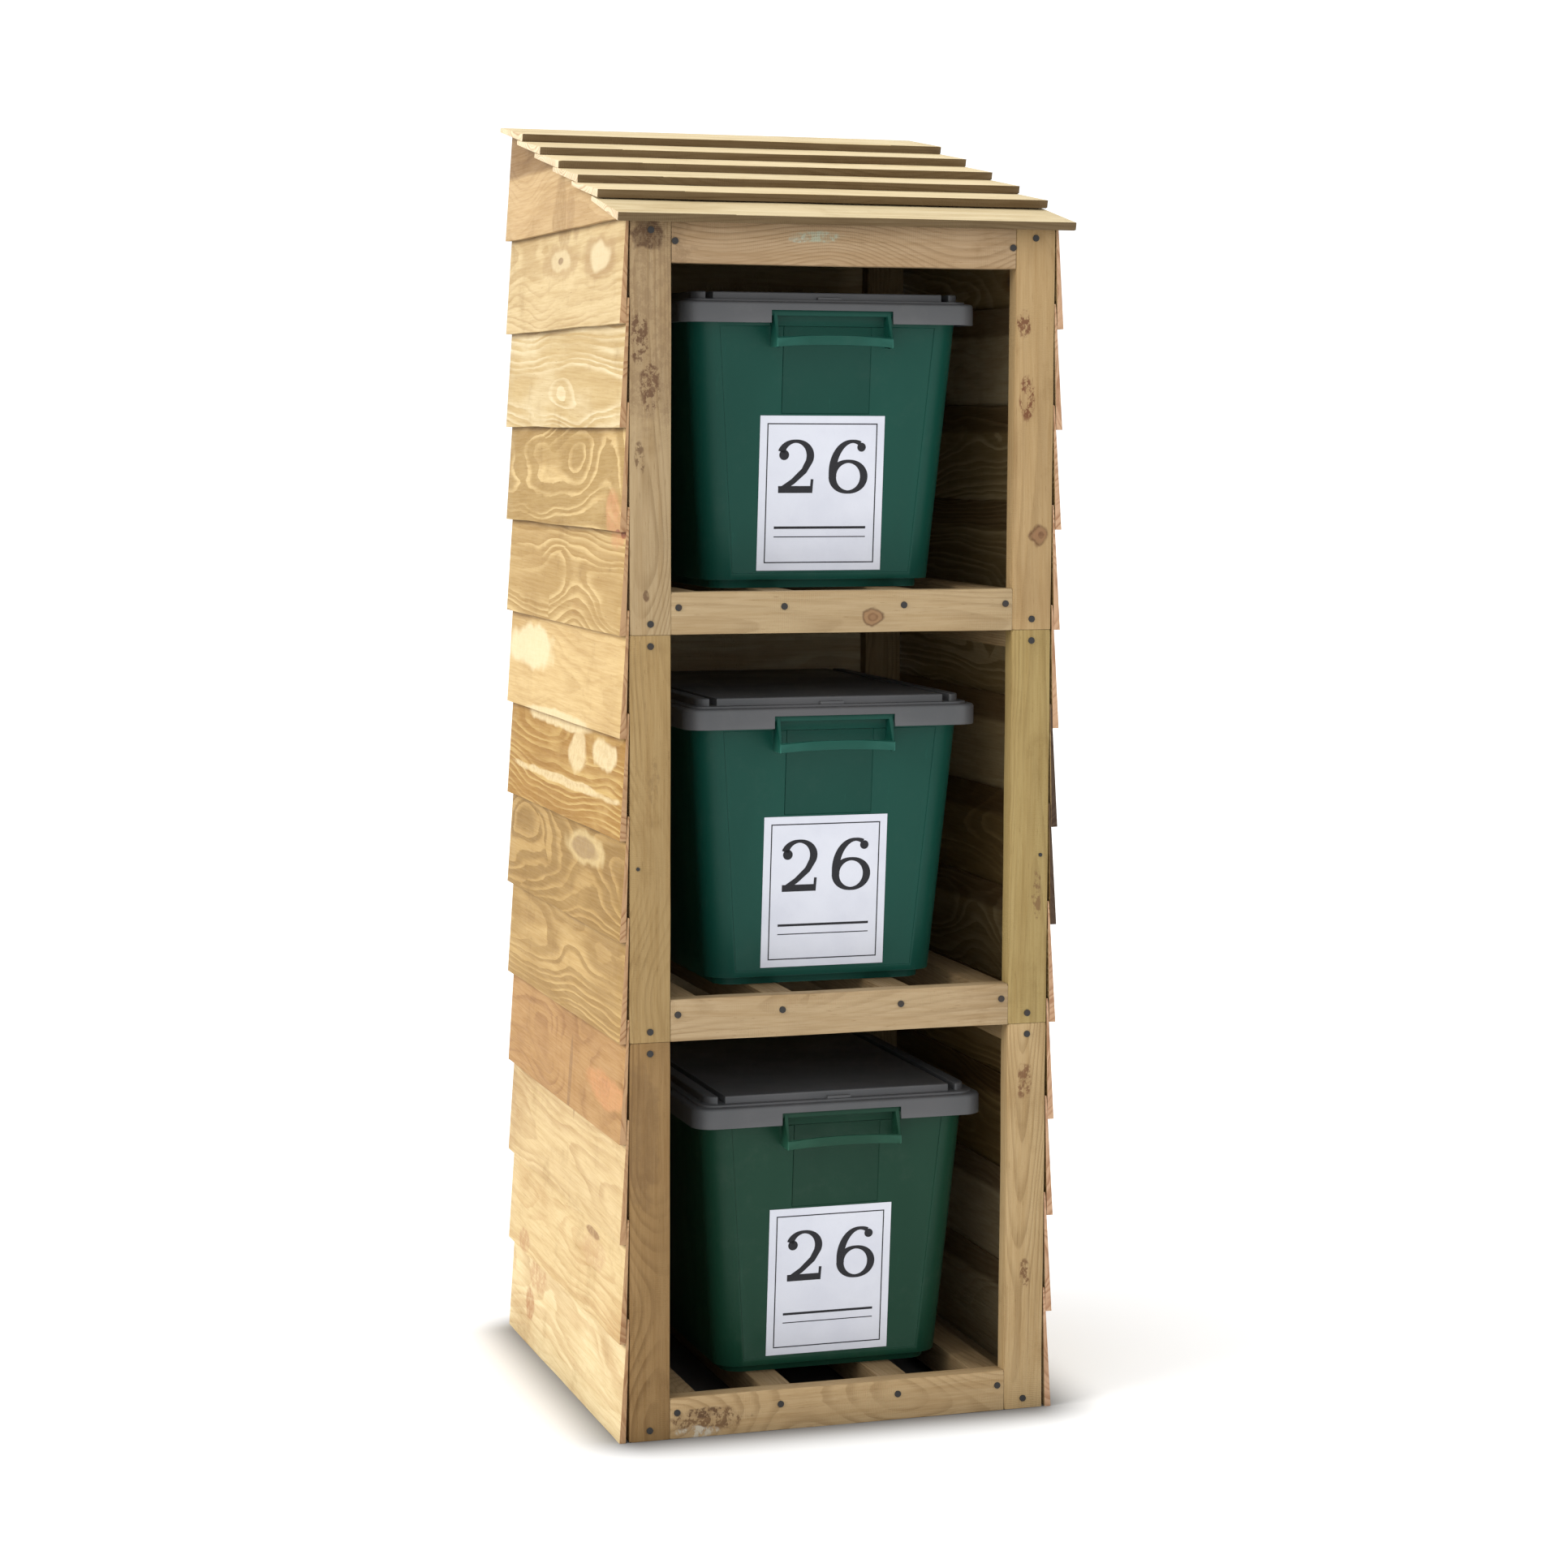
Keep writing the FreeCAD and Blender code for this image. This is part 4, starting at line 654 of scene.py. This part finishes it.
def arc(centre, radius_x, radius_y, start, stop, count=28):
    """Points on part of an ellipse, angles in degrees."""
    spots = []
    for index in range(count + 1):
        angle = math.radians(start + (stop - start) * index / count)
        spots.append((centre[0] + radius_x * math.cos(angle),
                      centre[1] + radius_y * math.sin(angle)))
    return spots


def build_print(level):
    """The printed border, a plain number and two plain rules on a label."""
    node = f"{level}_label"
    sheet = Sheet(node)
    width = sheet.right - sheet.left
    margin = 9 * MM
    line = 1.4 * MM
    top = sheet.height
    sheet.box((margin, margin), (width - margin, margin + line))
    sheet.box((margin, top - margin - line), (width - margin, top - margin))
    sheet.box((margin, margin + line), (margin + line, top - margin - line))
    sheet.box((width - margin - line, margin + line), (width - margin, top - margin - line))

    # two numerals, thick where the stroke runs up and thin where it runs across
    def pen(run):
        return (4.0 + 5.6 * abs(run.y) ** 1.5) * MM

    base = top * 0.50
    tall = 64 * MM
    left = width / 2 - 57 * MM
    two_top = arc((left + 24 * MM, base + tall - 19 * MM), 18.5 * MM, 17.5 * MM, 165, -20)
    neck = [(left + 41 * MM, base + tall - 26 * MM), (left + 35 * MM, base + 27 * MM),
            (left + 21 * MM, base + 14 * MM), (left + 6.5 * MM, base + 4.5 * MM)]
    sheet.strip(two_top + neck, pen)
    sheet.disc((left + 9.5 * MM, base + tall - 18 * MM), 6.2 * MM)
    sheet.strip([(left + 3 * MM, base + 4.6 * MM), (left + 44 * MM, base + 4.6 * MM)],
                lambda run: 8.4 * MM, 0.15 * MM)
    sheet.strip([(left + 44.5 * MM, base + 0.4 * MM), (left + 45.5 * MM, base + 17 * MM)],
                lambda run: 3.4 * MM, 0.18 * MM)
    six = left + 67 * MM
    bowl = arc((six + 24 * MM, base + 20 * MM), 20 * MM, 18.5 * MM, 180, -180, 48)
    sheet.strip(bowl, pen)
    spine = arc((six + 29 * MM, base + 26 * MM), 25 * MM, 36.5 * MM, 190, 68)
    sheet.strip(spine, pen, 0.15 * MM)
    sheet.disc((six + 40 * MM, base + tall - 8.5 * MM), 5.4 * MM, 0.18 * MM)

    sheet.box((width / 2 - 58 * MM, top * 0.27), (width / 2 + 58 * MM, top * 0.27 + 3.0 * MM))
    sheet.box((width / 2 - 58 * MM, top * 0.215), (width / 2 + 58 * MM, top * 0.215 + 1.2 * MM))
    piece = finish_mesh(f"{level}_label_print", sheet.mesh, INK, node, False)
    return piece


def paint_node(node, material):
    """Give a CAD node that stays a new material."""
    data = NODES[node].data
    data.materials.clear()
    data.materials.append(material)


# ------------------------------------------------------------------ floor, light, camera

def build_stage():
    """A pale floor with a painted shadow under and round the store's foot, and soft studio light.
    """
    g = Graph("studio_floor")
    place = g.add("ShaderNodeTexCoord").outputs["Object"]
    tint = g.mix(g.noise(place, 3.0), rgb(0.955, 0.955, 0.955), rgb(0.97, 0.97, 0.97))
    # painted contact shadow: the floor is painted dark under the store and fades out a hand's
    # breadth beyond its foot
    half_foot = (0.245, 0.255, 0.0)
    painted_shadow_fade = 0.15
    place_in_quarter = g.add("ShaderNodeVectorMath", {0: place}, operation="ABSOLUTE")
    beyond = g.vector("SUBTRACT", place_in_quarter.outputs["Vector"], half_foot)
    beyond = g.vector("MAXIMUM", beyond, (0.0, 0.0, 0.0))
    reach = g.add("ShaderNodeVectorMath", {0: beyond}, operation="LENGTH").outputs["Value"]
    dark = g.math("POWER", g.smooth(reach, painted_shadow_fade, 0.0), 1.6)
    tint = g.mix(dark, tint, rgb(0.10, 0.095, 0.09))
    material = g.finish({"Base Color": tint, "Roughness": 0.9, "Specular IOR Level": 0.1})
    data = bpy.data.meshes.new("studio_floor")
    size = 40.0
    data.from_pydata([(-size, -size, 0), (size, -size, 0), (size, size, 0), (-size, size, 0)],
                     [], [(0, 1, 2, 3)])
    data.materials.append(material)
    floor = bpy.data.objects.new("studio_floor", data)
    bpy.context.scene.collection.objects.link(floor)

    world = bpy.data.worlds.new("studio")
    world.use_nodes = True
    background = world.node_tree.nodes["Background"]
    background.inputs["Color"].default_value = rgb(0.98, 0.99, 1.0)
    background.inputs["Strength"].default_value = 1.25
    bpy.context.scene.world = world

    lamp = bpy.data.lights.new("left_key", "SUN")
    lamp.angle = math.radians(40)
    lamp.energy = 2.5
    lamp.color = (1.0, 0.96, 0.90)
    key = bpy.data.objects.new("left_key", lamp)
    key.location = (-4.0, -0.5, 1.7)
    key.rotation_euler = key.location.to_track_quat("Z", "Y").to_euler()
    bpy.context.scene.collection.objects.link(key)


CAMERA_PLACE = (-1.3147, -4.1442, 1.2134)
CAMERA_TURN = (17.780, -5.499, 0.265)
CAMERA_LENS = 78.977
CAMERA_SHIFT = -0.02


def build_camera():
    """The camera stands left of the front, at eye height, looking slightly down."""
    yaw, pitch, roll = (math.radians(angle) for angle in CAMERA_TURN)
    forward = Vector((math.sin(yaw) * math.cos(pitch), math.cos(yaw) * math.cos(pitch),
                      math.sin(pitch)))
    right = Vector((math.cos(yaw), -math.sin(yaw), 0))
    up = right.cross(forward)
    tilted_right = right * math.cos(roll) + up * math.sin(roll)
    tilted_up = up * math.cos(roll) - right * math.sin(roll)
    lens = bpy.data.cameras.new("camera")
    lens.sensor_width = 36.0
    lens.lens = CAMERA_LENS
    lens.shift_y = CAMERA_SHIFT
    camera = bpy.data.objects.new("camera", lens)
    turn = Matrix((tilted_right, tilted_up, -forward)).transposed().to_4x4()
    camera.matrix_world = Matrix.Translation(CAMERA_PLACE) @ turn
    bpy.context.scene.collection.objects.link(camera)
    bpy.context.scene.camera = camera


# ------------------------------------------------------------------ put together

build_stage()
build_camera()
build_timber()
GREEN = plastic_material("bin_plastic", rgb(0.0030, 0.052, 0.037), rgb(0.04, 0.18, 0.14), 0.36,
                         0.50, 0.25, 0.02, 0.18)
DEEP_GREEN = plastic_material("deep_bin_plastic", rgb(0.0060, 0.040, 0.022),
                              rgb(0.04, 0.15, 0.10), 0.36, 0.50, 0.25, 0.03, 0.18)
GREY = plastic_material("lid_plastic", rgb(0.066, 0.066, 0.070), rgb(0.12, 0.12, 0.125), 0.38,
                        0.54, 0.35, 0.04, 0.42)
CARD = card_material()
INK = ink_material()
STEEL = steel_material()
for level in LEVELS:
    moulded_piece(f"{level}_bin", DEEP_GREEN if level == "bottom" else GREEN, 1.0 * MM)
    moulded_piece(f"{level}_lid", GREY, 0.7 * MM)
    paint_node(f"{level}_label", CARD)
    build_print(level)
paint_node("post_nails", STEEL)
paint_node("rail_nails", STEEL)

bpy.context.scene.view_settings.view_transform = "Standard"
